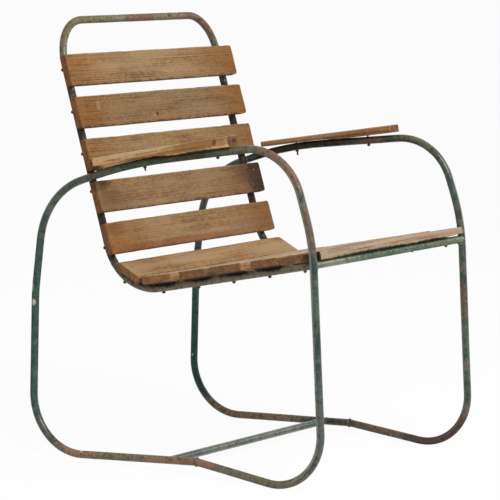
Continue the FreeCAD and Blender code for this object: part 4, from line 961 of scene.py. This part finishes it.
class ARMCHAIR_OT_stage(bpy.types.Operator):
    """Set the floor, the lamps, the room light and the camera"""
    bl_idname = "armchair.stage"
    bl_label = "Stage"

    def execute(self, context):
        stage = context.scene.armchair_stage
        context.scene.view_settings.view_transform = "Standard"
        self.lay_floor(stage)
        self.light_room(context, stage)
        self.place_camera(context, stage)
        return {"FINISHED"}

    def lay_floor(self, stage):
        """Lay a wide pale floor that keeps a faint shadow."""
        bm = bmesh.new()
        bmesh.ops.create_grid(bm, x_segments=4, y_segments=4, size=FLOOR_REACH)
        mesh = bpy.data.meshes.new("floor")
        bm.to_mesh(mesh)
        bm.free()
        floor = bpy.data.objects.new("floor", mesh)
        bpy.context.scene.collection.objects.link(floor)
        material, shader, surface, place = new_material("floor_paper")
        grain = shader.cloud(place["Object"], 60.0, 2.0)
        pale = scaled(stage.floor, 0.97)
        shader.feed(surface.inputs["Base Color"], shader.blend(grain, stage.floor, pale))
        surface.inputs["Roughness"].default_value = 0.9
        glow = shader.add("ShaderNodeEmission", {"Color": (1.0, 1.0, 1.0), "Strength": 1.0})
        shown = shader.times(seen_directly(shader), FLOOR_GLOW)
        both = shader.add("ShaderNodeMixShader", {0: shown, 1: surface.outputs[0], 2: glow.outputs[0]})
        output = material.node_tree.nodes["Material Output"]
        shader.feed(output.inputs["Surface"], both.outputs[0])
        mesh.materials.append(material)

    def light_room(self, context, stage):
        """Light from all round, seen as plain white, and two soft lamps."""
        world = bpy.data.worlds.new("studio")
        world.use_nodes = True
        context.scene.world = world
        shader = Shader(world.node_tree)
        room = world.node_tree.nodes["Background"]
        room.inputs["Color"].default_value = (1.0, 1.0, 1.0, 1.0)
        room.inputs["Strength"].default_value = stage.sky
        white = shader.add("ShaderNodeBackground", {"Color": (1.0, 1.0, 1.0), "Strength": 1.0})
        both = shader.add("ShaderNodeMixShader", {0: seen_directly(shader), 1: room.outputs[0],
                                                  2: white.outputs[0]})
        shader.feed(world.node_tree.nodes["World Output"].inputs["Surface"], both.outputs[0])
        middle = (cad_low + cad_high) / 2
        add_lamp("key", KEY_PLACE, middle, KEY_SIZE, stage.key, (1.0, 0.985, 0.96))
        add_lamp("fill", FILL_PLACE, middle, FILL_SIZE, stage.fill, (0.97, 0.985, 1.0))

    def place_camera(self, context, stage):
        """Stand the camera where the picture was taken."""
        azimuth, elevation, roll = stage.camera_turn
        back = Vector((math.sin(azimuth) * math.cos(elevation), -math.cos(azimuth) * math.cos(elevation),
                       math.sin(elevation)))
        level = (-back).cross(Vector((0, 0, 1))).normalized()
        rise = level.cross(-back)
        right = math.cos(roll) * level + math.sin(roll) * rise
        upward = math.cos(roll) * rise - math.sin(roll) * level
        turn = Matrix((right, upward, back)).transposed().to_4x4()
        camera = bpy.data.cameras.new("camera")
        camera.lens = stage.lens
        camera.sensor_width = SENSOR_WIDTH
        holder = bpy.data.objects.new("camera", camera)
        holder.matrix_world = Matrix.Translation(stage.camera_place) @ turn
        context.scene.collection.objects.link(holder)
        context.scene.camera = holder


class ARMCHAIR_PT_panel(bpy.types.Panel):
    """List the pieces of the armchair"""
    bl_label = "Garden armchair"
    bl_idname = "ARMCHAIR_PT_panel"
    bl_space_type = "VIEW_3D"
    bl_region_type = "UI"
    bl_category = "Armchair"

    def draw(self, context):
        for operator in OPERATORS:
            self.layout.operator(operator.bl_idname)


SETTINGS = {"armchair_wood": WoodSettings, "armchair_paint": PaintSettings,
            "armchair_stage": StageSettings}
OPERATORS = (ARMCHAIR_OT_back_slats, ARMCHAIR_OT_seat_slats, ARMCHAIR_OT_front_slat, ARMCHAIR_OT_armrests,
             ARMCHAIR_OT_tubes, ARMCHAIR_OT_fasteners, ARMCHAIR_OT_stage)


def register():
    """Register the settings, the operators and the panel."""
    for name, kind in SETTINGS.items():
        bpy.utils.register_class(kind)
        setattr(bpy.types.Scene, name, PointerProperty(type=kind))
    for kind in (*OPERATORS, ARMCHAIR_PT_panel):
        bpy.utils.register_class(kind)


def unregister():
    """Undo register."""
    for kind in (ARMCHAIR_PT_panel, *reversed(OPERATORS)):
        bpy.utils.unregister_class(kind)
    for name, kind in SETTINGS.items():
        delattr(bpy.types.Scene, name)
        bpy.utils.unregister_class(kind)


def main():
    """Build every piece and the stage."""
    register()
    bpy.ops.armchair.back_slats()
    bpy.ops.armchair.seat_slats()
    bpy.ops.armchair.front_slat()
    bpy.ops.armchair.armrests()
    bpy.ops.armchair.tubes()
    bpy.ops.armchair.fasteners()
    bpy.ops.armchair.stage()


if __name__ == "__main__":
    main()
